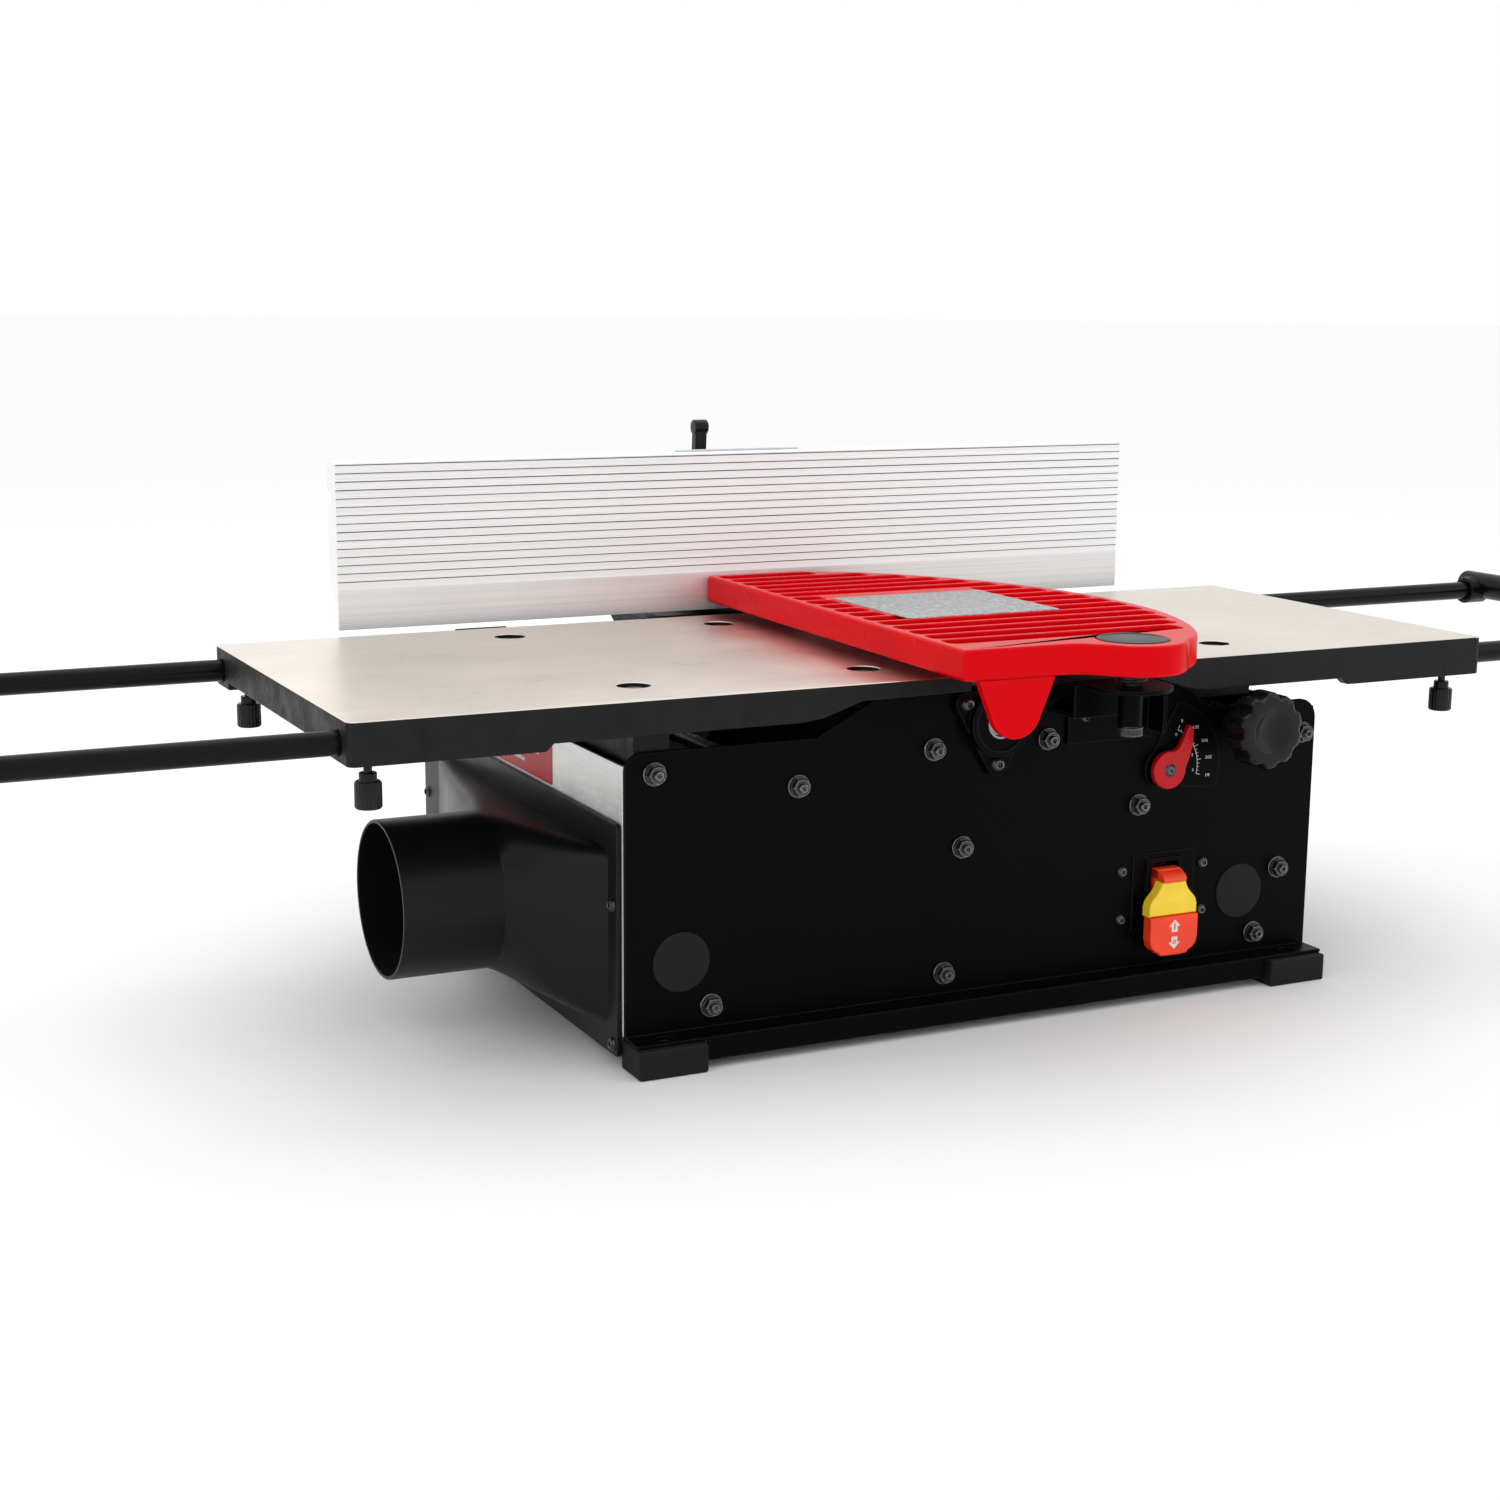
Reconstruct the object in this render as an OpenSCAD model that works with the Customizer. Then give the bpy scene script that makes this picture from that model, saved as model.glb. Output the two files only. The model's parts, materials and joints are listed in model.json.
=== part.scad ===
/* [Base] */
// Length of the base between its end plates' outer faces
base_len = 520; // [500:5:640]
// Depth of the base between the outer faces of its front and rear panels
base_w = 378; // [370:2:460]
// Thickness of the panels' sheet
panel_t = 2.5; // [2:0.25:3]
// Height of the rubber feet
foot_h = 18.5; // [15:0.5:24]
// Distance of the bench bolts from the base's ends
bolt_inset = 22; // [20:0.5:23]
// Radius of the bench bolt holes
bolt_r = 5; // [4:0.5:5]

/* [Tables] */
// Height of the table tops above the bench
table_z = 234.5; // [230:0.5:260]
// Width of both tables
table_w = 313; // [300:1:318]
// Length of the outfeed table
outfeed_len = 403.5; // [380:1:520]
// Length of the infeed table
infeed_len = 355.5; // [330:1:480]
// Opening between the tables over the cutterhead
mouth = 63; // [60:1:66]
// How far the tables stand in front of the front panel
table_lip = 22; // [20:0.5:24]
// Thickness of the tables' top plates
plate_t = 10; // [9:0.5:11]
// Deepest cut, by which the infeed table goes down
cut_depth = 3.2; // [2:0.1:3.2]

/* [Cutterhead] */
// Radius of the cutting circle
cut_r = 35; // [33:0.5:35]
// Length of the cutterhead
head_len = 305; // [290:1:306]
// Radius of the cutterhead's bearing seats
shaft_r = 8.5; // [8:0.1:9]
// Outer radius of the cutterhead bearings
bearing_r = 20; // [19:0.5:20]
// Running clearance of shafts in their bores, on the radius
run_gap = 0.05; // [0.02:0.01:0.09]

/* [Motor] */
// Outer radius of the motor housing
motor_r = 50; // [42:1:50]
// Radius of the motor shaft
rotor_r = 6; // [5:0.5:7]
// Radius of the cutterhead pulley's belt track
cutter_pulley_r = 17; // [14:0.5:17]
// Radius of the motor pulley's belt track
motor_pulley_r = 12.5; // [11:0.5:14]

/* [Fence] */
// Height of the fence
fence_h = 116; // [90:1:140]
// Length of the fence
fence_len = 649; // [500:1:760]
// Thickness of the fence at its top
fence_t = 21; // [19:0.5:23]
// How far the fence slides over the tables
fence_travel = 120; // [80:1:120]

/* [Guard] */
// Thickness of the guard
guard_t = 19.5; // [16:0.5:24]
// Gap between the guard and the tables
guard_gap = 7; // [6:0.5:10]
// Radius of the guard's pivot pin
pivot_r = 6; // [5:0.25:6.5]

/* [Extensions] */
// Radius of the extension bars
bar_r = 7.35; // [6.5:0.05:7.5]
// How far the extension bars stand out of the tables
bar_reach = 263; // [240:1:320]
// Radius of the extensions' cross bars
cross_r = 11; // [10:0.25:11]

/* [Dust port] */
// Outer radius of the dust port
port_r = 50.8; // [38:0.1:51]
// Length of the dust port's tube
port_len = 66; // [50:1:80]

/* [Hidden] */
$fn = 64;
eps = 0.01;

// Base
half_len = base_len / 2;
front_y = -base_w / 2;
rear_y = base_w / 2;
front_in = front_y + panel_t;
rear_in = rear_y - panel_t;
flange_z = foot_h + panel_t;
flange_w = 21.5;
bolt_x = base_len - 2 * bolt_inset;
bolt_y = base_w + 20;
end_t = 2;
side_z = table_z - 36;
crown_z = table_z - 11.5;
rear_crown_z = table_z - 12.5;

// Cutterhead and drive
cutter_x = -1;
cutter_z = table_z - cut_r;
head_front = front_y + 8;
head_rear = head_front + head_len;
drive_y = head_rear + 4;
drive_t = 3;
bearing_w = 12;
front_bearing_y = front_in - bearing_w + 1.5;
rear_bearing_y = drive_y + 1;
pulley_y = drive_y + 20;
pulley_w = 22;
flange_over = 4;
rows = 3;
per_row = 8;
row_twist = 14;
insert_w = 13;
insert_t = 3;
motor_x = 45;
motor_z = 92;
motor_y0 = drive_y - 203;
core_y = [drive_y - 148, drive_y - 68];
seat_r = 13;
seat_w = 10;
motor_wall = 3;

// Tables
table_front = front_y - table_lip;
table_rear = table_front + table_w;
skirt_t = 9;
skirt_z = table_z - 21.5;
boss_z = table_z - 26;
under_z = table_z - plate_t;
boss_len = 74;
outfeed_x1 = cutter_x + 0.5 - mouth / 2;
outfeed_x0 = outfeed_x1 - outfeed_len;
infeed_x0 = cutter_x + 0.5 + mouth / 2;
infeed_x1 = infeed_x0 + infeed_len;
hole_y = [table_front + 52, table_rear - 43];
outfeed_holes = [outfeed_x1 - 209, outfeed_x1 - 49.5];
infeed_holes = [infeed_x0 + 48.5, infeed_x0 + 162.2];
cap_r = 10.5;
screw_r = 4;
support_z = table_z - 24.5;
support_deep = [34, 22];
cradle_top = table_z - 26.5;
cradle_t = 8;
post_r = 9;
post_x = infeed_x0 + 106.5;
post_y = [table_front + 91, table_front + 231];
beam_z = table_z - 84.5;
beam_t = 14;

// Extensions and their clamps
bar_z = table_z - 14.7;
bar_y = [table_front + 20, table_rear - 19];
cross_z = table_z - cross_r - 0.3;
bar_in = 75;
clamp_in = 17;
outfeed_travel = 210;
infeed_travel = 135;
clamp_r = 8;

// Depth adjustment
knob_x = infeed_x0 + 158.2;
knob_z = table_z - 49.2;
knob_r = 26.5;
knob_y = table_front - 2;
knob_w = 20;
cam_e = cut_depth / 2;
cam_r = cradle_top - cradle_t - knob_z - cam_e - 0.5;
cam_y = table_front + 85;
dial = [132.6, table_z - 77.2];
hub_r = 13;
pointer_y = front_y - 9;

// Fence
fence_y = table_rear + 23;
fence_z = table_z + 0.8;
fence_x0 = -343;
fence_x1 = fence_x0 + fence_len;
hinge_y = fence_y + 12;
hinge_z = fence_z + 7;
hinge_r = 4;
knuckle_r = 6.2;
bracket_x = [-75, 26];
knuckle_w = 16;
arm_z = table_z + 1.5;
arm_t = 6;
way_y0 = fence_y + 25;
way_y1 = fence_y + 210;
way_x = [-89, 39];
way_t = 6.5;
foot_len = 60;
lever_y = way_y1 - 33;
lever_x = 5;
lever_z = arm_z + 22;

// Guard
pivot = [50, table_front - 55];
guard_z = table_z + guard_gap;
guard_top = guard_z + guard_t;
guard_rear = fence_y - 3;
guard_len = guard_rear - pivot[1];
tongue_x = cutter_x - 33;
rib_pitch = 21.3;
slot_w = 17;
first_slot = guard_rear - 14.7;
slot_count = floor((first_slot - pivot[1] - 32) / rib_pitch) + 1;
label_x = [-37, 82];
label_rows = [6, 10];
bracket_z = table_z - 2.5;

// Switch
switch_x = [107, 166];
switch_z = [44, 102];
switch_mid = 136.2;
rim_z = [47.7, 95.7];
rim_w = 28.6;
rim_t = 3;
neck_w = 18.2;
paddle_w = 38.6;
paddle_z = [30.4, 57.8];
key_z = [58.1, 81.2];
neck_top = 89;
axle_y = front_y + 7.5;
axle_z = 64;

// Panel nuts, as places on the panel
nut_x = [outfeed_holes[0] + 0.8, -142.5, -45.6, -23.1, -half_len + 58, -35, 40.3, 114.1,
    half_len - 11.5, half_len - 27.2, half_len - 45.8];
nut_drop = [49.7, 65.7, 50.1, 116.4, 199.8, 199.7, 49.9, 100.7, 61.3, 155.9, 200.6];
rod_r = 5;
plug_x = [-half_len + 37.7, half_len - 59.6];
plug_z = 65;
gland_x = 150;
gland_z = 50;

// Dust chute
chute_y = [front_y + 17, rear_y - 34];
chute_z = [23.5, 137.5];
port_y = front_y + 119;
port_z = 92.6;
hopper_x = -half_len - 51;
mouth_rim = 1.2;

function arc(cx, cy, r, a0, a1, n = 8) =
    [for (i = [0:n]) let (a = a0 + (a1 - a0) * i / n) [cx + r * cos(a), cy + r * sin(a)]];
function bezier(a, b, c, d, n = 14) =
    [for (i = [0:n]) let (t = i / n) pow(1 - t, 3) * a + 3 * t * pow(1 - t, 2) * b + 3 * t * t * (1 - t) * c
        + pow(t, 3) * d];

module block(a, b) {
    translate(a) cube(b - a);
}
module disc_x(x, y, z, r, w) {
    translate([x, y, z]) rotate([0, 90, 0]) cylinder(r = r, h = w);
}
module disc_y(x, y, z, r, w) {
    translate([x, y + w, z]) rotate([90, 0, 0]) cylinder(r = r, h = w);
}
module disc_z(x, y, z, r, w) {
    translate([x, y, z]) cylinder(r = r, h = w);
}
module ring_y(x, y, z, r_out, r_in, w) {
    difference() {
        disc_y(x, y, z, r_out, w);
        disc_y(x, y - 1, z, r_in, w + 2);
    }
}
// A flat outline in X and Z, from y forward to y + t
module sheet_xz(y, t) {
    translate([0, y + t, 0]) rotate([90, 0, 0]) linear_extrude(t) children();
}
// A flat outline in Y and Z, from x to x + t
module sheet_yz(x, t) {
    translate([x, 0, 0]) rotate([90, 0, 90]) linear_extrude(t) children();
}
module hex_y(x, y, z, r, w) {
    translate([x, y + w, z]) rotate([90, 0, 0]) cylinder(r = r, h = w, $fn = 6);
}

// Outline of the front and rear panels: low at the ends, raised around the cutterhead
module panel_outline(crown) {
    polygon(concat([[-half_len, foot_h], [half_len, foot_h]],
        arc(half_len - 14, side_z - 16, 14, 0, 90),
        [[174, side_z - 2], [168, side_z - 0.5], [138, crown - 3.5], [130, crown], [-80, crown],
        [-89, crown - 3.5], [-130, side_z]],
        arc(-half_len + 12, side_z - 12, 12, 90, 180)));
}
module bolt_holes(z0, z1) {
    for (x = [-bolt_x / 2, bolt_x / 2], y = [-bolt_y / 2, bolt_y / 2])
        disc_z(x, y, z0, bolt_r, z1 - z0);
}
module rod_holes(y, w, gap) {
    for (i = [0:len(nut_x) - 1])
        disc_y(nut_x[i], y - 1, table_z - nut_drop[i], rod_r + gap, w + 2);
}
module panel(y, side, crown) {
    lip_y = side < 0 ? y - flange_w + panel_t : y + flange_w - panel_t;
    difference() {
        union() {
            sheet_xz(y, panel_t) panel_outline(crown);
            block([-half_len, min(y, lip_y), foot_h], [half_len, max(y, lip_y) + panel_t, flange_z]);
            block([-half_len + 48, lip_y, 6], [half_len - 48, lip_y + panel_t, foot_h + 1]);
        }
        bolt_holes(foot_h - 1, flange_z + 1);
        rod_holes(y, panel_t, -2);
    }
}

module front_panel() {
    color([0.03, 0.03, 0.035])
        difference() {
            panel(front_y, -1, crown_z);
            disc_y(cutter_x, front_y - 1, cutter_z, bearing_r + 0.3, panel_t + 2);
            disc_y(knob_x, front_y - 1, knob_z, rotor_r + run_gap, panel_t + 2);
            disc_y(dial[0], front_y - 1, dial[1], 3 + run_gap, panel_t + 2);
            block([switch_x[0] + 4, front_y - 1, switch_z[0] + 2],
                [switch_x[1] - 4, front_in + 1, switch_z[1] - 2]);
            for (x = plug_x)
                disc_y(x, front_y - 1, plug_z, 15, panel_t + 2);
        }
}
module rear_panel() {
    color([0.03, 0.03, 0.035])
        union() {
            difference() {
                panel(rear_in, 1, rear_crown_z);
                disc_y(gland_x, rear_in - 1, gland_z, 8, panel_t + 2);
            }
            block([-237, rear_in, side_z - 1], [-197, rear_y, rear_crown_z]);
        }
}
module end_outline() {
    polygon([[front_in, flange_z], [rear_in, flange_z], [rear_in, side_z - 8], [front_in, side_z - 8]]);
}
module left_end_plate() {
    color([0.72, 0.73, 0.74])
        difference() {
            sheet_yz(-half_len, end_t) end_outline();
            block([-half_len - 1, chute_y[0] + 4, chute_z[0] + 4],
                [-half_len + end_t + 1, chute_y[1] - 4, chute_z[1] - 4]);
        }
}
module right_end_plate() {
    color([0.05, 0.05, 0.055])
        difference() {
            sheet_yz(half_len - end_t, end_t) end_outline();
            for (i = [0:5])
                block([half_len - end_t - 1, -60 + i * 22, 70], [half_len + 1, -52 + i * 22, 120]);
        }
}
module drive_plate() {
    low = side_z - 10;
    color([0.25, 0.26, 0.27])
        difference() {
            sheet_xz(drive_y, drive_t)
                polygon([[-half_len + end_t, flange_z], [half_len - end_t, flange_z],
                    [half_len - end_t, low],
                    [140, low], [110, rear_crown_z - 2], [-100, rear_crown_z - 2], [-130, low],
                        [-half_len + end_t, low]]);
            disc_y(cutter_x, drive_y - 1, cutter_z, bearing_r + 0.3, drive_t + 2);
            disc_y(motor_x, drive_y - 1, motor_z, rotor_r + 4, drive_t + 2);
            rod_holes(drive_y, drive_t, 0);
        }
}
module rubber_feet() {
    foot_x = 46;
    foot_y = 30;
    color([0.09, 0.09, 0.1])
        difference() {
            for (sx = [-1, 1], sy = [-1, 1])
                translate([sx * (bolt_x / 2 - 1) - foot_x / 2, sy * (bolt_y / 2 - 1) - foot_y / 2, 0])
                    cube([foot_x, foot_y, foot_h]);
            bolt_holes(-1, foot_h + 1);
        }
}
module tie_rods() {
    color([0.6, 0.6, 0.62])
        for (i = [0:len(nut_x) - 1])
            disc_y(nut_x[i], front_in, table_z - nut_drop[i], rod_r, rear_in - front_in);
}
module nut(x, y, z, side) {
    washer_y = side < 0 ? y - 1.2 : y;
    nut_y = side < 0 ? y - 6.2 : y + 1.2;
    stud_y = side < 0 ? y - 8.5 : y;
    union() {
        ring_y(x, washer_y, z, 7.6, 3, 1.2);
        difference() {
            hex_y(x, nut_y, z, 6.1, 5);
            disc_y(x, nut_y - 1, z, 3, 7);
        }
        disc_y(x, stud_y, z, 3, 8.5);
    }
}
module panel_nuts() {
    color([0.08, 0.08, 0.085])
        for (i = [0:len(nut_x) - 1]) {
            nut(nut_x[i], front_y, table_z - nut_drop[i], -1);
            nut(nut_x[i], rear_y, table_z - nut_drop[i], 1);
        }
}

// Skirt outline of a table between its outer end and its mouth, both measured along X
module skirt_outline(outer, inner) {
    s = inner > outer ? 1 : -1;
    polygon([[outer, table_z], [outer, boss_z], [outer + s * (boss_len + 44), boss_z],
        [outer + s * (boss_len + 49), skirt_z],
        [inner - s * 120, skirt_z], [inner - s * 104, skirt_z + 2], [inner - s * 78, table_z - 11],
            [inner, table_z - plate_t],
        [inner, table_z]]);
}
module table(outer, inner, holes, pad_z, travel) {
    x0 = min(outer, inner);
    x1 = max(outer, inner);
    s = inner > outer ? 1 : -1;
    boss_x = [min(outer, outer + s * boss_len), max(outer, outer + s * boss_len)];
    difference() {
        union() {
            block([x0, table_front, under_z], [x1, table_rear, table_z]);
            sheet_xz(table_front, skirt_t) skirt_outline(outer, inner);
            sheet_xz(table_rear - skirt_t, skirt_t) skirt_outline(outer, inner);
            block([s > 0 ? x0 : x1 - skirt_t, table_front, skirt_z],
                [s > 0 ? x0 + skirt_t : x1, table_rear, table_z]);
            for (y = bar_y)
                block([boss_x[0], max(y - 16, table_front), boss_z],
                    [boss_x[1], min(y + 16, table_rear), table_z]);
            for (x = holes, y = hole_y)
                disc_z(x, y, pad_z, 13, table_z - pad_z - 1);
        }
        for (y = bar_y) {
            disc_x(boss_x[0] - 1, y, bar_z, bar_r + run_gap, boss_len + 2);
            disc_x(s > 0 ? boss_x[1] : boss_x[0] - travel - 6, y, bar_z, bar_r + 0.6, travel + 6);
            disc_z(outer + s * clamp_in, y, boss_z - 1, 2.5 + run_gap, bar_z - boss_z);
        }
        for (x = holes, y = hole_y) {
            disc_z(x, y, table_z - 7, cap_r, 8);
            disc_z(x, y, pad_z - 1, screw_r + 0.3, table_z - pad_z);
        }
    }
}
module outfeed_table() {
    color([0.6, 0.58, 0.56]) table(outfeed_x0, outfeed_x1, outfeed_holes, support_z, outfeed_travel);
}
module infeed_table() {
    color([0.6, 0.58, 0.56])
        difference() {
            table(infeed_x1, infeed_x0, infeed_holes, cradle_top, infeed_travel);
            block([infeed_x0 - 1, front_y - 2, under_z - 1], [infeed_x0 + 112, front_in + 2,
                crown_z + cut_depth + 0.6]);
        }
}
module table_screw(x, y, end_z) {
    difference() {
        union() {
            disc_z(x, y, table_z - 7, 7, 5);
            disc_z(x, y, end_z, screw_r, table_z - 7 - end_z);
        }
        translate([x, y, table_z - 5]) cylinder(r = 3.5, h = 4, $fn = 6);
    }
}
module outfeed_screws() {
    color([0.12, 0.12, 0.13])
        for (x = outfeed_holes, y = hole_y)
            table_screw(x, y, support_z - 12);
}
module infeed_screws() {
    color([0.12, 0.12, 0.13])
        for (x = infeed_holes, y = hole_y)
            table_screw(x, y, cradle_top - cradle_t);
}
module outfeed_supports() {
    color([0.3, 0.3, 0.32])
        difference() {
            for (i = [0, 1])
                block([outfeed_holes[i] - 12, front_in, support_z - support_deep[i]],
                    [outfeed_holes[i] + 12, drive_y, support_z]);
            for (x = outfeed_holes, y = hole_y)
                disc_z(x, y, support_z - 12, screw_r, 13);
            rod_holes(front_in, drive_y - front_in, 0);
        }
}
module front_bearing_flange() {
    color([0.07, 0.07, 0.075])
        difference() {
            union() {
                sheet_xz(front_y - 5, 5) hull()
                    for (a = [30, 150, 270])
                        translate([cutter_x + 27.5 * cos(a), cutter_z + 27.5 * sin(a)]) circle(r = 8,
                            $fn = 32);
                disc_y(cutter_x, front_y - 10, cutter_z, 22.2, 10);
            }
            disc_y(cutter_x, front_y - 9.5 , cutter_z, bearing_r, 12);
            disc_y(cutter_x, front_y - 12, cutter_z, bearing_r - 2, 4);
            for (a = [30, 150, 270])
                disc_y(cutter_x + 27.5 * cos(a), front_y - 6, cutter_z + 27.5 * sin(a), 3, 8);
        }
}
module rear_bearing_flange() {
    color([0.07, 0.07, 0.075])
        difference() {
            union() {
                disc_y(cutter_x, drive_y + drive_t, cutter_z, 22, 11);
                block([cutter_x - 32, drive_y + drive_t, cutter_z - 14],
                    [cutter_x + 32, drive_y + drive_t + 5, cutter_z + 14]);
            }
            disc_y(cutter_x, drive_y, cutter_z, bearing_r, rear_bearing_y + bearing_w - drive_y);
            disc_y(cutter_x, drive_y, cutter_z, bearing_r - 2, 20);
            for (s = [-1, 1])
                disc_y(cutter_x + s * 27.5, drive_y, cutter_z, 3, 20);
        }
}
// Two bearings on the cutterhead's shaft and two on the motor's
module ball_bearings() {
    color([0.7, 0.7, 0.72]) {
        ring_y(cutter_x, front_y - 9.5, cutter_z, bearing_r, shaft_r + run_gap, bearing_w - 0.5);
        ring_y(cutter_x, rear_bearing_y, cutter_z, bearing_r, shaft_r + run_gap, bearing_w);
        ring_y(motor_x, motor_y0 + 5, motor_z, seat_r, rotor_r + run_gap, seat_w);
        ring_y(motor_x, drive_y - 20, motor_z, seat_r, rotor_r + run_gap, seat_w);
    }
}
module flange_bolts() {
    color([0.08, 0.08, 0.085]) {
        for (a = [30, 150, 270]) {
            disc_y(cutter_x + 27.5 * cos(a), front_y - 5, cutter_z + 27.5 * sin(a), 3, 5);
            disc_y(cutter_x + 27.5 * cos(a), front_y - 9, cutter_z + 27.5 * sin(a), 5, 4);
        }
        for (s = [-1, 1]) {
            disc_y(cutter_x + s * 27.5, drive_y + drive_t, cutter_z, 3, 5);
            disc_y(cutter_x + s * 27.5, drive_y + drive_t + 5, cutter_z, 5, 4);
        }
    }
}

// Dust chute: flange plate on the base's left end, a tapering hopper and the round port
module chute_loft(inset) {
    hull() {
        block([-half_len - 4, chute_y[0] + inset, chute_z[0] + inset],
            [-half_len - 3 + inset, chute_y[1] - inset, chute_z[1] - inset]);
        disc_x(hopper_x - inset / 2, port_y, port_z, port_r + mouth_rim - inset, 1 + inset);
    }
}
module dust_chute() {
    color([0.04, 0.04, 0.045])
        difference() {
            union() {
                block([-half_len - 3, front_y + 4, 7.5], [-half_len, rear_y - 4, table_z - 80]);
                chute_loft(0);
                disc_x(hopper_x - port_len, port_y, port_z, port_r, port_len + 1);
            }
            chute_loft(2.5);
            block([-half_len - 6, chute_y[0] + 2.5, chute_z[0] + 2.5],
                [-half_len + 1, chute_y[1] - 2.5, chute_z[1] - 2.5]);
            disc_x(hopper_x - port_len - 1, port_y, port_z, port_r - 2.5, port_len + 3.5);
        }
}
module casing_screws() {
    color([0.08, 0.08, 0.085]) {
        for (y = [front_y + 11, rear_y - 11], z = [14.5, 103])
            disc_x(-half_len - 6, y, z, 4.5, 3);
        for (x = [102.8, 169], z = [55, 88.3])
            disc_y(x, front_y - 2.8, z, 4, 2.8);
        disc_y(126.7, front_y - 2.8, 38, 3.6, 2.8);
        disc_y(66.5, front_y - 6, table_z - 37, 3.6, 3);
    }
}
module dust_deflector() {
    t = 2;
    gap = 6;
    path = [[-half_len + end_t, 50], [-150, 58], [-66, 128]];
    color([0.55, 0.56, 0.57])
        sheet_xz(front_in + 4, drive_y - front_in - 5)
            union() {
                polygon(concat(path, [[cutter_x - 33, cutter_z - 28], [cutter_x - 31, cutter_z - 31]],
                    [for (i = [2:-1:0]) path[i] + [i, -t - 0.5]]));
                difference() {
                    translate([cutter_x, cutter_z]) circle(r = cut_r + gap + t);
                    translate([cutter_x, cutter_z]) circle(r = cut_r + gap);
                    translate([cutter_x - 60, cutter_z - 30]) square([120, 90]);
                }
            }
}

// Guides and drive of the infeed table
module lift_beam() {
    color([0.3, 0.3, 0.32])
        difference() {
            union() {
                block([post_x - 25, front_in, beam_z], [post_x + 25, drive_y, beam_z + beam_t]);
                block([post_x + 13, cam_y + 62, beam_z + beam_t - 1],
                    [knob_x + 17, cam_y + 68, table_z - 38.5]);
            }
            for (y = post_y)
                disc_z(post_x, y, beam_z - 1, post_r + run_gap, beam_t + 2);
            disc_y(knob_x, cam_y + 60, knob_z, rotor_r + run_gap, 10);
        }
}
module infeed_cradle() {
    color([0.34, 0.34, 0.36])
        difference() {
            union() {
                block([infeed_x0 + 32, table_front + 36, cradle_top - cradle_t],
                    [infeed_x0 + 182, table_rear - 29, cradle_top]);
                for (y = post_y)
                    disc_z(post_x, y, beam_z - 28, post_r, cradle_top - beam_z + 27);
            }
            for (x = infeed_holes, y = hole_y)
                disc_z(x, y, cradle_top - cradle_t - 1, screw_r, cradle_t + 2);
        }
}
module depth_knob() {
    color([0.05, 0.05, 0.055])
        difference() {
            union() {
                disc_y(knob_x, knob_y - knob_w, knob_z, knob_r, knob_w);
                disc_y(knob_x, knob_y, knob_z, 9, front_y - knob_y - 0.5);
            }
            disc_y(knob_x, knob_y - 4, knob_z, rotor_r, 60);
            disc_y(knob_x, knob_y - knob_w - 1, knob_z, 14, 4);
            for (i = [0:9])
                disc_y(knob_x + 30 * cos(i * 36), knob_y - knob_w - 1, knob_z + 30 * sin(i * 36), 6.5,
                    knob_w + 2);
        }
}
module depth_cam() {
    color([0.5, 0.5, 0.52])
        union() {
            disc_y(knob_x, knob_y - 4, knob_z, rotor_r, cam_y + 72 - knob_y);
            disc_y(knob_x, cam_y, knob_z + cam_e, cam_r, 12);
        }
}
module dial_plate() {
    color([0.06, 0.06, 0.065])
        difference() {
            sheet_xz(front_y - 1.2, 1.2)
                union() {
                    polygon(concat([dial + [-9, -10]], arc(dial[0], dial[1], 46, -22, 78, 16),
                        [dial + [-12, 6]]));
                    translate(dial) circle(r = hub_r + 1.5);
                }
            disc_y(dial[0], front_y - 3, dial[1], 3 + run_gap, 5);
        }
}
// A round hub with a curved blade whose tip points at the zero mark
module depth_pointer() {
    blade = [[hub_r - 0.2, 0], [15.4, 6.8], [17.6, 14], [18.3, 20], [18.5, 26], [16.8, 29.4], [14.2, 29.6],
        [9.9, 20.1], [6.8, 14.6], [2.5, hub_r - 0.4]];
    color([0.85, 0.02, 0.04])
        union() {
            sheet_xz(pointer_y, 5)
                translate(dial)
                    union() {
                        circle(r = hub_r);
                        polygon(blade);
                    }
            disc_y(dial[0], pointer_y, dial[1], 3, 11);
            disc_y(dial[0], pointer_y + 4.5, dial[1], 6, 3);
        }
}

// Cutterhead with three helical rows of square inserts
module insert_at(r, i, length, gap) {
    pitch = (head_len - insert_w - 4) / (rows * per_row - 1);
    translate([cutter_x, head_front + 2 + insert_w / 2 + (i * rows + r) * pitch, cutter_z])
        rotate([0, -r * 360 / rows - i * row_twist, 0])
            translate([cut_r - 9 - gap, -insert_w / 2 - gap, -insert_t / 2 - gap])
                cube([length, insert_w + 2 * gap, insert_t + 2 * gap]);
}
module cutterhead() {
    color([0.35, 0.36, 0.38])
        difference() {
            union() {
                disc_y(cutter_x, head_front, cutter_z, cut_r - 2, head_len);
                disc_y(cutter_x, front_y - 7, cutter_z, shaft_r, head_front - front_y + 8);
                disc_y(cutter_x, head_rear - 1, cutter_z, shaft_r, pulley_y + pulley_w - head_rear + 4);
                disc_y(cutter_x, head_front - 3, cutter_z, 14, 4);
                disc_y(cutter_x, head_rear - 1, cutter_z, 14, 4);
            }
            for (r = [0:rows - 1], i = [0:per_row - 1])
                insert_at(r, i, 9.2, 0.01);
        }
}
module cutter_inserts() {
    color([0.75, 0.76, 0.78])
        for (r = [0:rows - 1], i = [0:per_row - 1])
            insert_at(r, i, 8.8, 0);
}
module pulley(x, z, r, bore) {
    difference() {
        union() {
            disc_y(x, pulley_y, z, r, pulley_w);
            disc_y(x, pulley_y, z, r + flange_over, 3);
            disc_y(x, pulley_y + pulley_w - 3, z, r + flange_over, 3);
        }
        disc_y(x, pulley_y - 1, z, bore, pulley_w + 2);
    }
}
module cutter_pulley() {
    color([0.55, 0.56, 0.58]) pulley(cutter_x, cutter_z, cutter_pulley_r, shaft_r);
}
module motor_pulley() {
    color([0.55, 0.56, 0.58]) pulley(motor_x, motor_z, motor_pulley_r, rotor_r);
}
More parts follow.
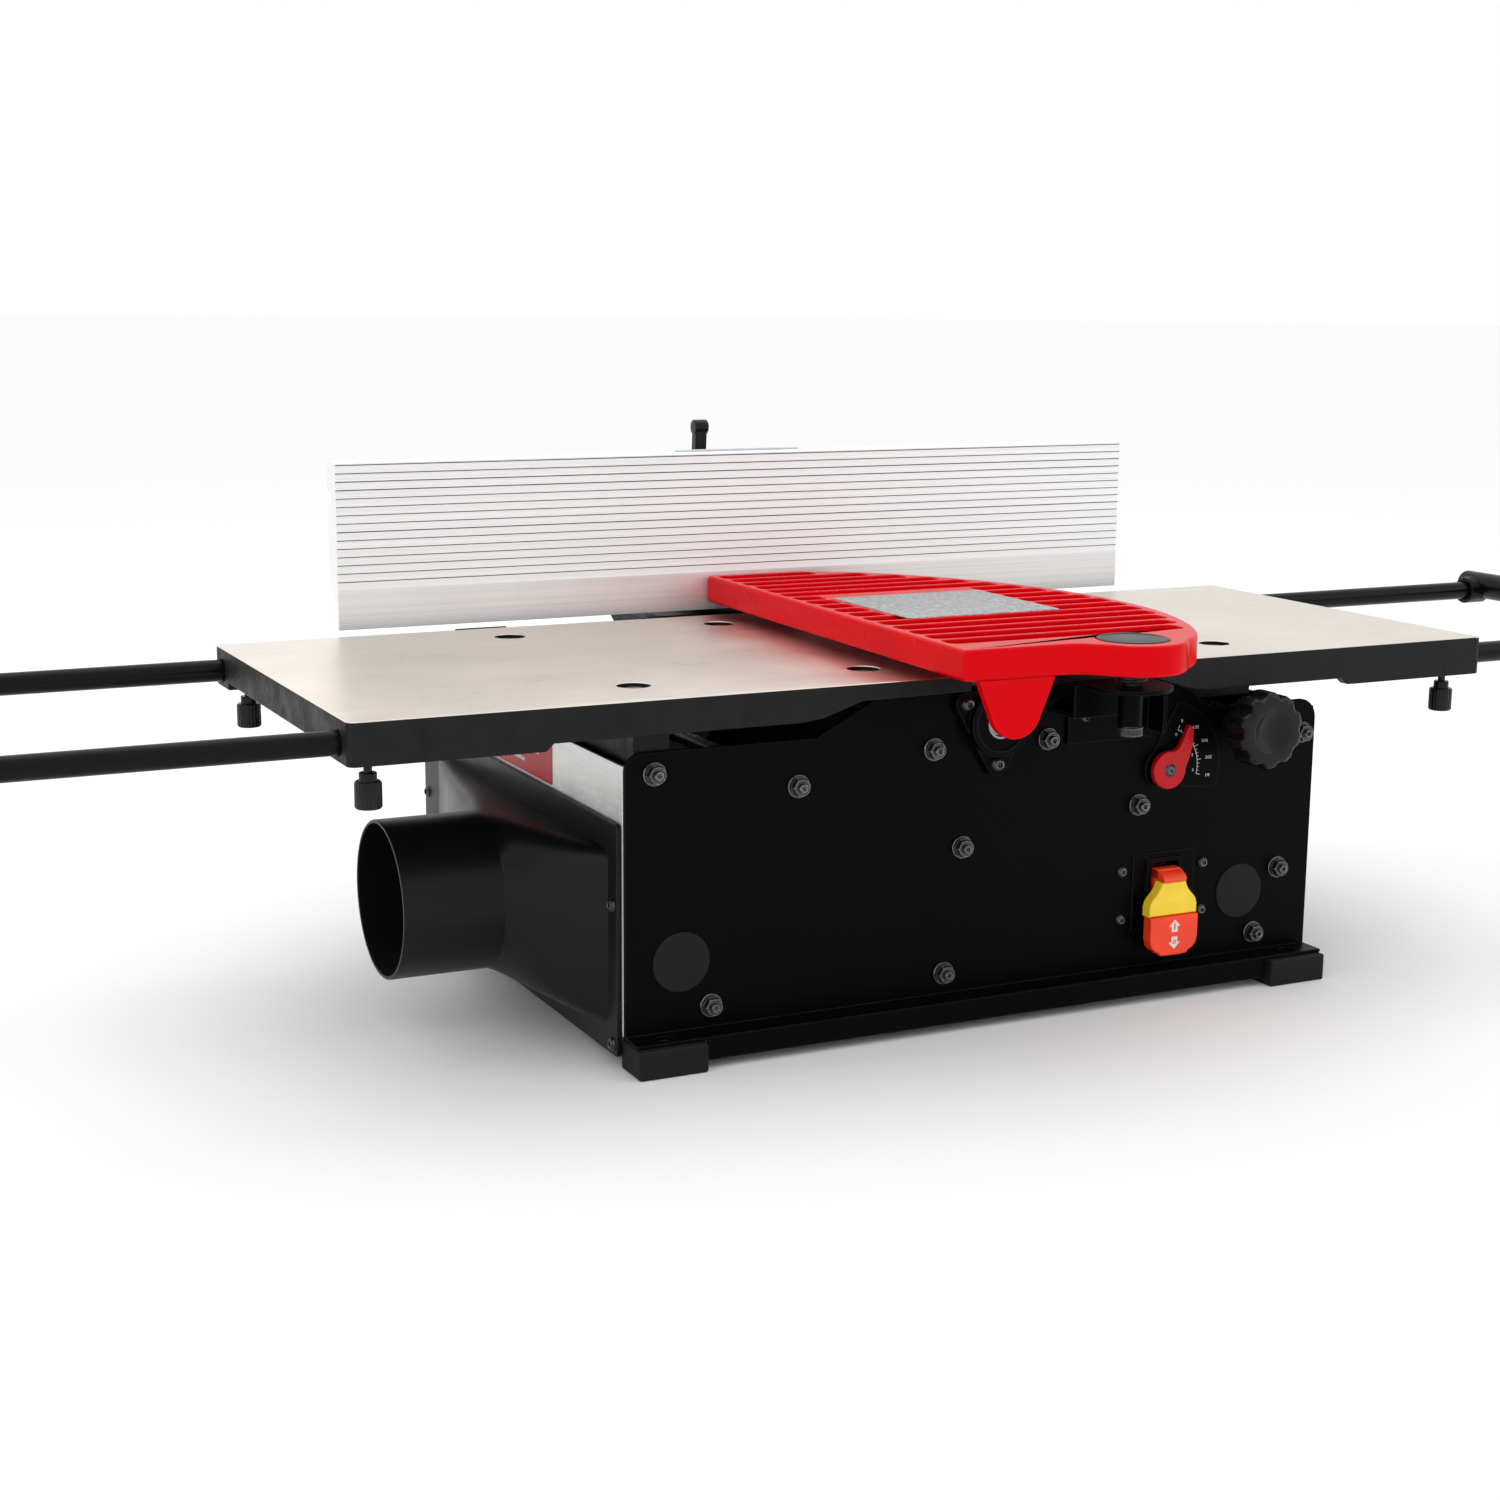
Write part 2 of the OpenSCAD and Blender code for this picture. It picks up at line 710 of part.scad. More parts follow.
module belt_loop(grow) {
    hull() {
        translate([cutter_x, cutter_z]) circle(r = cutter_pulley_r + grow, $fn = 48);
        translate([motor_x, motor_z]) circle(r = motor_pulley_r + grow, $fn = 48);
    }
}
module drive_belt() {
    color([0.05, 0.05, 0.05])
        sheet_xz(pulley_y + 4, pulley_w - 8)
            difference() {
                belt_loop(3);
                belt_loop(0.4);
            }
}

// Motor
module motor_housing() {
    color([0.12, 0.12, 0.13])
        difference() {
            disc_y(motor_x, motor_y0, motor_z, motor_r, drive_y - motor_y0);
            disc_y(motor_x, motor_y0 + 15, motor_z, motor_r - motor_wall, drive_y - motor_y0 - 35);
            disc_y(motor_x, motor_y0 + 4, motor_z, seat_r, seat_w + 2);
            disc_y(motor_x, drive_y - 22, motor_z, seat_r, seat_w + 4);
            disc_y(motor_x, drive_y - 12, motor_z, rotor_r + 3, 14);
        }
}
module motor_stator() {
    color([0.5, 0.3, 0.16])
        ring_y(motor_x, core_y[0], motor_z, motor_r - motor_wall, motor_r * 0.57, core_y[1] - core_y[0]);
}
module motor_armature() {
    color([0.45, 0.46, 0.48])
        union() {
            disc_y(motor_x, motor_y0 + 6, motor_z, rotor_r, pulley_y + pulley_w + 2 - motor_y0 - 6);
            disc_y(motor_x, core_y[0], motor_z, motor_r * 0.57 - 0.6, core_y[1] - core_y[0]);
            disc_y(motor_x, core_y[0] - 26, motor_z, 14, 18);
            disc_y(motor_x, core_y[1] + 25, motor_z, motor_r - motor_wall - 6, 10);
        }
}

// Switch with its paddle and pull-out key
module switch_box() {
    x0 = switch_x[0];
    x1 = switch_x[1];
    color([0.06, 0.06, 0.065])
        difference() {
            union() {
                block([x0 + 4.3, front_y - 0.5, switch_z[0] + 2.3],
                    [x1 - 4.3, front_y + 45, switch_z[1] - 2.3]);
                block([switch_mid - rim_w / 2, front_y - 3, rim_z[0]],
                    [switch_mid + rim_w / 2, front_y, rim_z[1]]);
            }
            block([switch_mid - rim_w / 2 + rim_t, front_y - 4, rim_z[0] + rim_t],
                [switch_mid + rim_w / 2 - rim_t, front_y + 41, rim_z[1] - rim_t]);
        }
}
module switch_block(w, y0, y1, z0, z1) {
    block([switch_mid - w / 2, front_y + y0, z0], [switch_mid + w / 2, front_y + y1, z1]);
}
module switch_paddle() {
    color([0.9, 0.05, 0.04])
        union() {
            switch_block(paddle_w, -16.5, -8, paddle_z[0], paddle_z[1]);
            switch_block(neck_w, -10, 8, paddle_z[1] - 6, paddle_z[1]);
            switch_block(neck_w, 5, 10, paddle_z[1] - 4, neck_top);
            switch_block(neck_w, -9, 8, key_z[1] + 0.8, neck_top);
            disc_x(switch_mid - neck_w / 2 - 0.9, axle_y, axle_z, 2.5, neck_w + 1.8);
        }
}
module safety_key() {
    color([0.98, 0.85, 0.05])
        union() {
            switch_block(paddle_w, -14.5, -6, key_z[0], key_z[0] + 13);
            switch_block(neck_w, -14.5, -6, key_z[0] + 12, key_z[1]);
            switch_block(neck_w - 4, -7, 3, key_z[0] + 9, key_z[1] - 3);
        }
}
module panel_plugs() {
    color([0.13, 0.13, 0.14])
        for (x = plug_x) {
            disc_y(x, front_y - 1.5, plug_z, 19.2, 1.5);
            disc_y(x, front_y - 1, plug_z, 14.9, panel_t + 3);
        }
}
module cable_gland() {
    color([0.07, 0.07, 0.075])
        difference() {
            union() {
                disc_y(gland_x, rear_in - 4, gland_z, 7.9, panel_t + 8);
                hex_y(gland_x, rear_y, gland_z, 12, 6);
                disc_y(gland_x, rear_y + 6, gland_z, 8.5, 9);
            }
            disc_y(gland_x, rear_in - 5, gland_z, 4.5, 30);
        }
}

// Guard: a ribbed casting that swings on a pin in front of the tables
function edge_y(share) = guard_rear - share * guard_len;
guard_edge = concat(
    bezier([-2, guard_rear], [68, guard_rear + 0.5], [150, edge_y(0.317)], [146, edge_y(0.613)], 18),
    bezier([146, edge_y(0.613)], [148, edge_y(0.768)], [118, edge_y(0.982)],
        [pivot[0] + 31, pivot[1] - 17], 12));
module guard_outline() {
    polygon(concat([[-62, guard_rear]], guard_edge,
        arc(pivot[0], pivot[1], 34.5, -32, -128, 12),
        bezier([pivot[0] - 24, pivot[1] - 24], [pivot[0] - 35, pivot[1] - 12],
            [pivot[0] - 40, pivot[1] - 4],
            [pivot[0] - 54, pivot[1] - 3.5], 6),
        [[-72, pivot[1] - 2]]));
}
function slot_y(i) = first_slot - i * rib_pitch;
function edge_x(y) = lookup(y, [for (p = [for (k = [len(guard_edge) - 1:-1:1]) guard_edge[k]]) [p[1],
    p[0]]]);
function slot_x0(y) = -56 - 10 * (guard_rear - y) / guard_len;
function slot_x1(y) = min(edge_x(y - slot_w / 2), edge_x(y + slot_w / 2)) - 7;
module slot(x0, x1, y) {
    r = 5;
    translate([x0 + r, y - slot_w / 2, 0]) square([x1 - x0 - 2 * r, slot_w]);
    translate([x0, y - slot_w / 2 + r, 0]) square([x1 - x0, slot_w - 2 * r]);
    for (x = [x0 + r, x1 - r], s = [-1, 1])
        translate([x, y + s * (slot_w / 2 - r)]) circle(r = r);
}
module guard_slots() {
    for (i = [0:slot_count - 1]) {
        y = slot_y(i);
        if (i < label_rows[0] || i > label_rows[1])
            slot(slot_x0(y), slot_x1(y), y);
        else {
            slot(slot_x0(y), label_x[0] - 2, y);
            slot(label_x[1] + 2, slot_x1(y), y);
        }
    }
}
// The tongue that hangs in front of the cutterhead's bearing
module guard_tongue() {
    color([0.9, 0.02, 0.03])
        sheet_xz(pivot[1] - 2, 7)
            union() {
                polygon([[tongue_x - 27, guard_z], [tongue_x - 26, guard_z - 3],
                    [tongue_x - 16.5, guard_z - 26],
                    [tongue_x + 16.5, guard_z - 26], [tongue_x + 26, guard_z - 3],
                        [tongue_x + 27, guard_z]]);
                translate([tongue_x, guard_z - 20]) circle(r = 17.6);
            }
}
module guard() {
    color([0.9, 0.02, 0.03])
        difference() {
            translate([0, 0, guard_z]) linear_extrude(guard_t) guard_outline();
            translate([0, 0, guard_z + 3.5]) linear_extrude(guard_t) guard_slots();
            disc_z(pivot[0], pivot[1], guard_z - 1, pivot_r + run_gap, guard_t + 2);
            disc_z(pivot[0], pivot[1], guard_top - 3, 23, 4);
        }
}
module guard_cap() {
    color([0.1, 0.1, 0.11])
        disc_z(pivot[0], pivot[1], guard_top - 2.5, 22.8, 3);
}
module guard_pivot_pin() {
    color([0.5, 0.5, 0.52])
        union() {
            disc_z(pivot[0], pivot[1], bracket_z - 30, pivot_r, guard_top - 4 - bracket_z + 30);
            disc_z(pivot[0], pivot[1], bracket_z - 32, pivot_r + 2.5, 5.5);
        }
}
module guard_bracket() {
    t = 3;
    x0 = 54;
    x1 = 120;
    side = pivot[0] - 26;
    shelf_z = table_z - 23.5;
    riser_y = table_front - 29;
    low = table_z - 54.5;
    color([0.05, 0.05, 0.055])
        difference() {
            union() {
                block([x0, front_y - t, low], [x1, front_y, shelf_z]);
                translate([0, 0, shelf_z - t]) linear_extrude(t)
                    polygon([[x0, front_y], [x1, front_y], [pivot[0] + 26, riser_y + 8],
                        [pivot[0] + 26, riser_y], [side, riser_y],
                        [side, front_y - 22]]);
                block([side, riser_y - t, shelf_z - t], [pivot[0] + 26, riser_y, bracket_z]);
                block([side, pivot[1], bracket_z - t], [pivot[0] + 26, riser_y, bracket_z]);
                disc_z(pivot[0], pivot[1], bracket_z - t, 26, t);
                disc_z(pivot[0], pivot[1], bracket_z - 26, pivot_r + 1.6, 25);
                block([x1 - t, front_y - 20, low + 6], [x1, front_y, shelf_z]);
            }
            disc_z(pivot[0], pivot[1], bracket_z - 30, pivot_r + run_gap, 40);
        }
}
module guard_spring() {
    turns = 2;
    color([0.55, 0.55, 0.57])
        for (i = [0:turns])
            translate([pivot[0], pivot[1], bracket_z + 1.6 + i * 2.7]) rotate_extrude()
                translate([pivot_r + 3, 0]) circle(r = 1.1, $fn = 16);
}

// Extension supports: two bars in each table and a cross bar at table height
module bars(outer, s) {
    x0 = s < 0 ? outer - bar_reach : outer - bar_in;
    for (y = bar_y)
        disc_x(x0, y, bar_z, bar_r, bar_reach + bar_in);
}
module cross_bar(outer, s) {
    x = outer + s * (bar_reach + cross_r - 2);
    difference() {
        union() {
            translate([x, bar_y[0] - 18, cross_z]) rotate([-90, 0, 0])
                cylinder(r = cross_r, h = bar_y[1] - bar_y[0] + 36);
            for (y = bar_y)
                disc_x(s < 0 ? x : x - 20, y, bar_z, cross_r, 20);
        }
        for (y = bar_y)
            disc_x(s < 0 ? x + cross_r - 2 - eps : x - 40 - cross_r + 2 + eps, y, bar_z, bar_r, 40);
    }
}
module outfeed_bars() {
    color([0.05, 0.05, 0.055]) bars(outfeed_x0, -1);
}
module outfeed_cross_bar() {
    color([0.06, 0.06, 0.065]) cross_bar(outfeed_x0, -1);
}
module infeed_bars() {
    color([0.05, 0.05, 0.055]) bars(infeed_x1, 1);
}
module infeed_cross_bar() {
    color([0.06, 0.06, 0.065]) cross_bar(infeed_x1, 1);
}
module clamp(x, y) {
    color([0.05, 0.05, 0.055])
        difference() {
            union() {
                disc_z(x, y, boss_z - 28, clamp_r, 16);
                disc_z(x, y, boss_z - 13, 5.2, 6);
                disc_z(x, y, boss_z - 8, 2.5, bar_z - bar_r - boss_z + 7.8);
            }
            for (i = [0:11])
                disc_z(x + clamp_r * cos(i * 30), y + clamp_r * sin(i * 30), boss_z - 29, 0.8, 18);
        }
}
module outfeed_front_clamp() {
    clamp(outfeed_x0 + clamp_in, bar_y[0]);
}
module outfeed_rear_clamp() {
    clamp(outfeed_x0 + clamp_in, bar_y[1]);
}
module infeed_front_clamp() {
    clamp(infeed_x1 - clamp_in, bar_y[0]);
}
module infeed_rear_clamp() {
    clamp(infeed_x1 - clamp_in, bar_y[1]);
}

// Fence: a grooved extrusion with a slot behind and a relief that lets it tilt back
module fence_profile() {
    pitch = 5.8;
    steps = 15;
    top = fence_z + fence_h;
    groove_z = top - pitch * steps - 1;
    relief = fence_t - 4;
    polygon(concat([[fence_y, fence_z], [fence_y + 4, fence_z], [fence_y + 4, fence_z + relief],
        [fence_y + fence_t, fence_z + relief * 2], [fence_y + fence_t, top - 29],
            [fence_y + 12, top - 29], [fence_y + 12, top - 20],
        [fence_y + fence_t, top - 20], [fence_y + fence_t, top], [fence_y, top]],
        [for (i = [0:steps - 1], k = [0:2]) let (z = top - 1 - i * pitch)
            k == 0 ? [fence_y, z] : k == 1 ? [fence_y + 0.9, z - 0.7] : [fence_y + 0.1, z - pitch + 0.2]],
        [[fence_y, groove_z]]));
}
module fence() {
    color([0.8, 0.8, 0.82])
        sheet_yz(fence_x0, fence_len) fence_profile();
}
module fence_bracket() {
    y = fence_y + fence_t;
    top = fence_z + fence_h + 1.3;
    low = fence_z + 37;
    color([0.75, 0.76, 0.78])
        difference() {
            union() {
                block([bracket_x[0], y, low], [bracket_x[1], y + 6, top]);
                for (x = [bracket_x[0], bracket_x[1] - knuckle_w]) {
                    disc_x(x, hinge_y, hinge_z, knuckle_r, knuckle_w);
                    sheet_yz(x, knuckle_w)
                        polygon([[hinge_y - 1, hinge_z + 6], [hinge_y + 6, hinge_z], [y + 6, low],
                            [y + 6, low + 12],
                            [y, low + 12], [y, low + 1], [y + 1.5, low - 4]]);
                }
                for (x = [bracket_x[0] + 20, bracket_x[1] - 28])
                    sheet_yz(x, 8) polygon([[y + 5, low + 4], [y + 22, low + 30], [y + 22, top - 30],
                        [y + 5, top - 4]]);
            }
            disc_x(bracket_x[0] - 1, hinge_y, hinge_z, hinge_r + run_gap, bracket_x[1] - bracket_x[0] + 2);
        }
}
module fence_hinge_pin() {
    color([0.55, 0.56, 0.58])
        disc_x(bracket_x[0] - 16, hinge_y, hinge_z, hinge_r, bracket_x[1] - bracket_x[0] + 18);
}
module fence_carriage() {
    ax = [bracket_x[0] + knuckle_w + 0.4, bracket_x[1] - knuckle_w - 0.4];
    foot_y = way_y1 - foot_len;
    way_z = rear_crown_z + way_t;
    color([0.09, 0.09, 0.1])
        difference() {
            union() {
                block([ax[0], hinge_y, arm_z], [ax[1], way_y1, arm_z + arm_t]);
                disc_x(ax[0], hinge_y, hinge_z, knuckle_r, ax[1] - ax[0]);
                block([way_x[0] - 8, foot_y, way_z + 0.3], [way_x[1] + 8, way_y1, arm_z + 0.5]);
                sheet_xz(foot_y, foot_len)
                    union() {
                        polygon([[way_x[0] - 8, way_z + 1], [way_x[0] - 0.6, way_z + 1],
                            [way_x[0] + 2.2, rear_crown_z + 1.5],
                            [way_x[0] - 8, rear_crown_z + 1.5]]);
                        polygon([[way_x[1] + 8, way_z + 1], [way_x[1] + 0.6, way_z + 1],
                            [way_x[1] - 2.2, rear_crown_z + 1.5],
                            [way_x[1] + 8, rear_crown_z + 1.5]]);
                    }
                block([lever_x - 16, lever_y - 12, arm_z], [lever_x - 0.5, lever_y + 12, lever_z + 10]);
            }
            disc_x(ax[0] - 1, hinge_y, hinge_z, hinge_r, ax[1] - ax[0] + 2);
            disc_x(lever_x - 20, lever_y, lever_z, 5 + run_gap, 30);
        }
}
module fence_base() {
    way_z = rear_crown_z + way_t;
    color([0.06, 0.06, 0.065])
        union() {
            sheet_xz(way_y0, way_y1 - way_y0 - 5)
                polygon([[way_x[0], way_z], [way_x[1], way_z], [way_x[1] - 3.5, rear_crown_z],
                    [way_x[0] + 3.5, rear_crown_z]]);
            difference() {
                block([way_x[0] + 3.5, rear_y, rear_crown_z - 100],
                    [way_x[1] - 3.5, rear_y + 8, rear_crown_z + 1]);
                for (i = [0:len(nut_x) - 1])
                    disc_y(nut_x[i], rear_y - 1, table_z - nut_drop[i], 9, 12);
            }
            for (x = [-62, 8])
                sheet_yz(x, 8)
                    polygon([[rear_y + 7, rear_crown_z + 1], [way_y1 - 14, rear_crown_z + 1],
                        [way_y1 - 14, rear_crown_z - 8], [rear_y + 7, rear_crown_z - 92]]);
        }
}
module lever(x, y, z, hub, length, width, shaft, lean) {
    difference() {
        union() {
            disc_x(x, y, z, hub, width);
            translate([x + width / 2, y, z]) rotate([lean, 0, 0])
                translate([1 - width / 2, -4, 0]) cube([width - 2, 8, length]);
            translate([x + width / 2, y, z]) rotate([lean, 0, 0]) translate([-width / 2, 0,
                length]) rotate([0, 90, 0])
                cylinder(r = 6, h = width);
        }
        disc_x(x - 1, y, z, shaft, width + 2);
    }
}
module fence_lock_lever() {
    color([0.04, 0.04, 0.045])
        union() {
            lever(lever_x, lever_y, lever_z, 10, 102, 12, 4, 4);
            disc_x(lever_x - 14, lever_y, lever_z, 5, 26);
        }
}
module tilt_lock_lever() {
    color([0.04, 0.04, 0.045])
        lever(bracket_x[0] - 14, hinge_y, hinge_z, knuckle_r, 60, 10, hinge_r + run_gap, -88);
}

front_panel();
rear_panel();
left_end_plate();
right_end_plate();
drive_plate();
rubber_feet();
tie_rods();
panel_nuts();
outfeed_table();
outfeed_supports();
outfeed_screws();
front_bearing_flange();
rear_bearing_flange();
ball_bearings();
flange_bolts();
dust_chute();
casing_screws();
dust_deflector();
lift_beam();
motor_housing();
motor_stator();
drive_belt();
switch_box();
panel_plugs();
dial_plate();
guard_bracket();
fence_base();
cable_gland();
infeed_table();
infeed_cradle();
infeed_screws();
outfeed_bars();
outfeed_cross_bar();
infeed_bars();
infeed_cross_bar();
outfeed_front_clamp();
outfeed_rear_clamp();
infeed_front_clamp();
infeed_rear_clamp();
depth_knob();
depth_cam();
depth_pointer();
cutterhead();
cutter_inserts();
cutter_pulley();
motor_armature();
motor_pulley();
guard();
guard_tongue();
guard_cap();
guard_pivot_pin();
guard_spring();
fence();
fence_bracket();
fence_carriage();
fence_hinge_pin();
fence_lock_lever();
tilt_lock_lever();
switch_paddle();
safety_key();
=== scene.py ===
import bmesh
import bpy
import json
import math
from mathutils import Matrix, Vector


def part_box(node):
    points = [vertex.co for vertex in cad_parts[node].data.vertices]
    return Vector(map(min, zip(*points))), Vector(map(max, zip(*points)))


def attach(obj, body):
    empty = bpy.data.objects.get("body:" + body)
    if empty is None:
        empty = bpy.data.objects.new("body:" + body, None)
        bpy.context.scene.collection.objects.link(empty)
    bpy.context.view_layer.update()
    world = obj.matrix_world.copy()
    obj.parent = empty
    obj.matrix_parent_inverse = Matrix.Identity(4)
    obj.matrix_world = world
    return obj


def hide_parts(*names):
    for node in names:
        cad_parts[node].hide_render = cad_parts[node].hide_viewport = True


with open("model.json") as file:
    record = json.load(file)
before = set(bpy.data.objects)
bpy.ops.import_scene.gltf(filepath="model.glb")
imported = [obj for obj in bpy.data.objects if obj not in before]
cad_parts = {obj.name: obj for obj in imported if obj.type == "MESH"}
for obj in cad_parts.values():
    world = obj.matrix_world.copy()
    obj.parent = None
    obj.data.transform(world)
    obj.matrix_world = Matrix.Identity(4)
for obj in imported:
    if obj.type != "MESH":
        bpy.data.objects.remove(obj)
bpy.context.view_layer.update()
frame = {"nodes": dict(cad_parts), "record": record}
nodes = frame["nodes"]
record = frame["record"]
bodyOf = {node: body for body, names in record["behaviour"]["bodies"].items() for node in names}
mm = 0.001
print("frame loaded,", len(nodes), "nodes")

# Camera, floor and light
view = {"place": (-0.79363, -1.45985, 0.47638), "yaw": 25.912, "pitch": 11.284, "roll": 0.429, "lens": 56.35}


def makeCamera():
    data = bpy.data.cameras.new("camera")
    data.lens = view["lens"]
    data.sensor_width = 36
    data.clip_start = 0.01
    camera = bpy.data.objects.new("camera", data)
    bpy.context.collection.objects.link(camera)
    turn = Matrix.Rotation(-math.radians(view["yaw"]), 4, "Z")
    turn = turn @ Matrix.Rotation(math.radians(90 - view["pitch"]), 4, "X")
    turn = turn @ Matrix.Rotation(math.radians(view["roll"]), 4, "Z")
    camera.matrix_world = Matrix.Translation(view["place"]) @ turn
    bpy.context.scene.camera = camera


studio = {"floorRadius": 30, "floorColour": (0.97, 0.97, 0.97, 1), "worldSeen": 1.0, "worldLight": 1.0}
softboxes = [
    # name, place, aimed at, width, height, watts
    ("overheadBox", (0.1, 0.5, 2.3), (0, 0, 0.2), 2.6, 1.6, 10),
    ("leftBox", (-2.3, -0.9, 1.1), (-0.1, 0, 0.15), 0.9, 1.7, 5),
    ("rightBox", (2.2, -1.6, 1.5), (0.2, 0, 0.2), 0.9, 1.7, 3),
    ("rearBox", (0.2, 2.4, 1.3), (0, 0, 0.25), 2.6, 1.0, 4),
]


def makeStudio():
    bm = bmesh.new()
    bmesh.ops.create_circle(bm, cap_ends=True, radius=studio["floorRadius"], segments=64)
    mesh = bpy.data.meshes.new("floor")
    bm.to_mesh(mesh)
    bm.free()
    floor = bpy.data.objects.new("floor", mesh)
    bpy.context.collection.objects.link(floor)
    material = bpy.data.materials.new("floorPaper")
    material.use_nodes = True
    shader = material.node_tree.nodes["Principled BSDF"]
    shader.inputs["Base Color"].default_value = studio["floorColour"]
    shader.inputs["Roughness"].default_value = 0.9
    shader.inputs["Specular IOR Level"].default_value = 0.1
    mesh.materials.append(material)
    world = bpy.data.worlds.new("studioWorld")
    bpy.context.scene.world = world
    world.use_nodes = True
    tree = world.node_tree
    background = tree.nodes["Background"]
    path = tree.nodes.new("ShaderNodeLightPath")
    mix = tree.nodes.new("ShaderNodeMix")
    mix.inputs["A"].default_value = studio["worldLight"]
    mix.inputs["B"].default_value = studio["worldSeen"]
    tree.links.new(path.outputs["Is Camera Ray"], mix.inputs["Factor"])
    tree.links.new(mix.outputs["Result"], background.inputs["Strength"])
    background.inputs["Color"].default_value = (1, 1, 1, 1)
    for name, place, aim, width, height, watts in softboxes:
        data = bpy.data.lights.new(name, "AREA")
        data.shape = "RECTANGLE"
        data.size = width
        data.size_y = height
        data.energy = watts
        lamp = bpy.data.objects.new(name, data)
        lamp.location = place
        lamp.rotation_euler = (Vector(aim) - Vector(place)).to_track_quat("-Z", "Y").to_euler()
        bpy.context.collection.objects.link(lamp)


makeCamera()
makeStudio()
bpy.context.scene.view_settings.view_transform = "Standard"
print("camera and studio made")

# Effects that several finishes share, each a node group
def startGroup(name, inputs, outputs):
    group = bpy.data.node_groups.new(name, "ShaderNodeTree")
    for label, kind, value in inputs:
        socket = group.interface.new_socket(label, in_out="INPUT", socket_type="NodeSocket" + kind)
        socket.default_value = value
    for label, kind in outputs:
        group.interface.new_socket(label, in_out="OUTPUT", socket_type="NodeSocket" + kind)
    entry = group.nodes.new("NodeGroupInput")
    leave = group.nodes.new("NodeGroupOutput")
    coords = group.nodes.new("ShaderNodeTexCoord")
    return group, entry.outputs, leave.inputs, coords.outputs["Object"]


def addNode(tree, kind, links=(), **settings):
    node = tree.nodes.new("ShaderNode" + kind)
    for name, value in settings.items():
        setattr(node, name, value)
    for socket, value in links:
        if isinstance(value, bpy.types.NodeSocket):
            tree.links.new(value, node.inputs[socket])
        else:
            node.inputs[socket].default_value = value
    return node


def mixColour(tree, factor, first, second, blend="MIX"):
    node = addNode(tree, "Mix", data_type="RGBA", blend_type=blend)
    for socket, value in ((0, factor), (6, first), (7, second)):
        if isinstance(value, bpy.types.NodeSocket):
            tree.links.new(value, node.inputs[socket])
        else:
            node.inputs[socket].default_value = value
    return node.outputs[2]


def makeMottle():
    # slow drift of colour and gloss, as on any paint or casting
    group, given, result, place = startGroup(
        "mottle",
        [("Scale", "Float", 30.0), ("Light", "Color", (1, 1, 1, 1)), ("Dark", "Color", (0, 0, 0, 1)),
         ("Low", "Float", 0.3), ("High", "Float", 0.5)],
        [("Color", "Color"), ("Gloss", "Float"), ("Value", "Float")])
    cloud = addNode(group, "TexNoise", [("Vector", place), ("Scale", given["Scale"]), ("Detail", 6.0),
                                        ("Roughness", 0.62)])
    sharp = addNode(group, "MapRange", [("Value", cloud.outputs["Fac"]), ("From Min", 0.32), ("From Max", 0.68)])
    group.links.new(mixColour(group, sharp.outputs["Result"], given["Dark"], given["Light"]), result["Color"])
    gloss = addNode(group, "MapRange", [("Value", sharp.outputs["Result"]), ("To Min", given["Low"]),
                                        ("To Max", given["High"])])
    group.links.new(gloss.outputs["Result"], result["Gloss"])
    group.links.new(sharp.outputs["Result"], result["Value"])
    return group


def makeGrain():
    # fine bumps: powder coat, casting skin, orange peel or moulded texture
    group, given, result, place = startGroup(
        "grain", [("Scale", "Float", 900.0), ("Strength", "Float", 0.2), ("Depth", "Float", 0.0002)],
        [("Normal", "Vector")])
    fine = addNode(group, "TexNoise", [("Vector", place), ("Scale", given["Scale"]), ("Detail", 3.0)])
    bump = addNode(group, "Bump", [("Strength", given["Strength"]), ("Distance", given["Depth"]),
                                   ("Height", fine.outputs["Fac"])])
    group.links.new(bump.outputs["Normal"], result["Normal"])
    return group


def makeEdgeRub():
    # where a coat thins over an edge, together with painted highlight: edges turn lighter to stand in for light caught
    # on them
    group, given, result, place = startGroup(
        "edgeRubAndHighlight", [("Radius", "Float", 0.0012), ("Reach", "Float", 0.5)], [("Mask", "Float")])
    rounded = addNode(group, "Bevel", [("Radius", given["Radius"])], samples=4)
    flat = addNode(group, "NewGeometry")
    dot = addNode(group, "VectorMath", operation="DOT_PRODUCT")
    group.links.new(rounded.outputs["Normal"], dot.inputs[0])
    group.links.new(flat.outputs["Normal"], dot.inputs[1])
    edge = addNode(group, "MapRange", [("Value", dot.outputs["Value"]), ("From Min", 0.995), ("From Max", 0.8)])
    broken = addNode(group, "TexNoise", [("Vector", place), ("Scale", 180.0), ("Detail", 4.0)])
    rubbedAndHighlit = addNode(group, "Math", operation="MULTIPLY")
    group.links.new(edge.outputs["Result"], rubbedAndHighlit.inputs[0])
    group.links.new(broken.outputs["Fac"], rubbedAndHighlit.inputs[1])
    scaled = addNode(group, "Math", operation="MULTIPLY", use_clamp=True)
    group.links.new(rubbedAndHighlit.outputs["Value"], scaled.inputs[0])
    group.links.new(given["Reach"], scaled.inputs[1])
    group.links.new(scaled.outputs["Value"], result["Mask"])
    return group


def makeToolMarks():
    # long fine lines left by grinding, drawing or brushing
    group, given, result, place = startGroup(
        "toolMarks", [("Stretch", "Vector", (4.0, 900.0, 900.0)), ("Strength", "Float", 0.1)],
        [("Value", "Float"), ("Normal", "Vector")])
    mapped = addNode(group, "Mapping", [("Vector", place), ("Scale", given["Stretch"])])
    lines = addNode(group, "TexNoise", [("Vector", mapped.outputs["Vector"]), ("Scale", 1.0), ("Detail", 5.0),
                                        ("Roughness", 0.7)])
    bump = addNode(group, "Bump", [("Strength", given["Strength"]), ("Distance", 0.00012),
                                   ("Height", lines.outputs["Fac"])])
    group.links.new(lines.outputs["Fac"], result["Value"])
    group.links.new(bump.outputs["Normal"], result["Normal"])
    return group


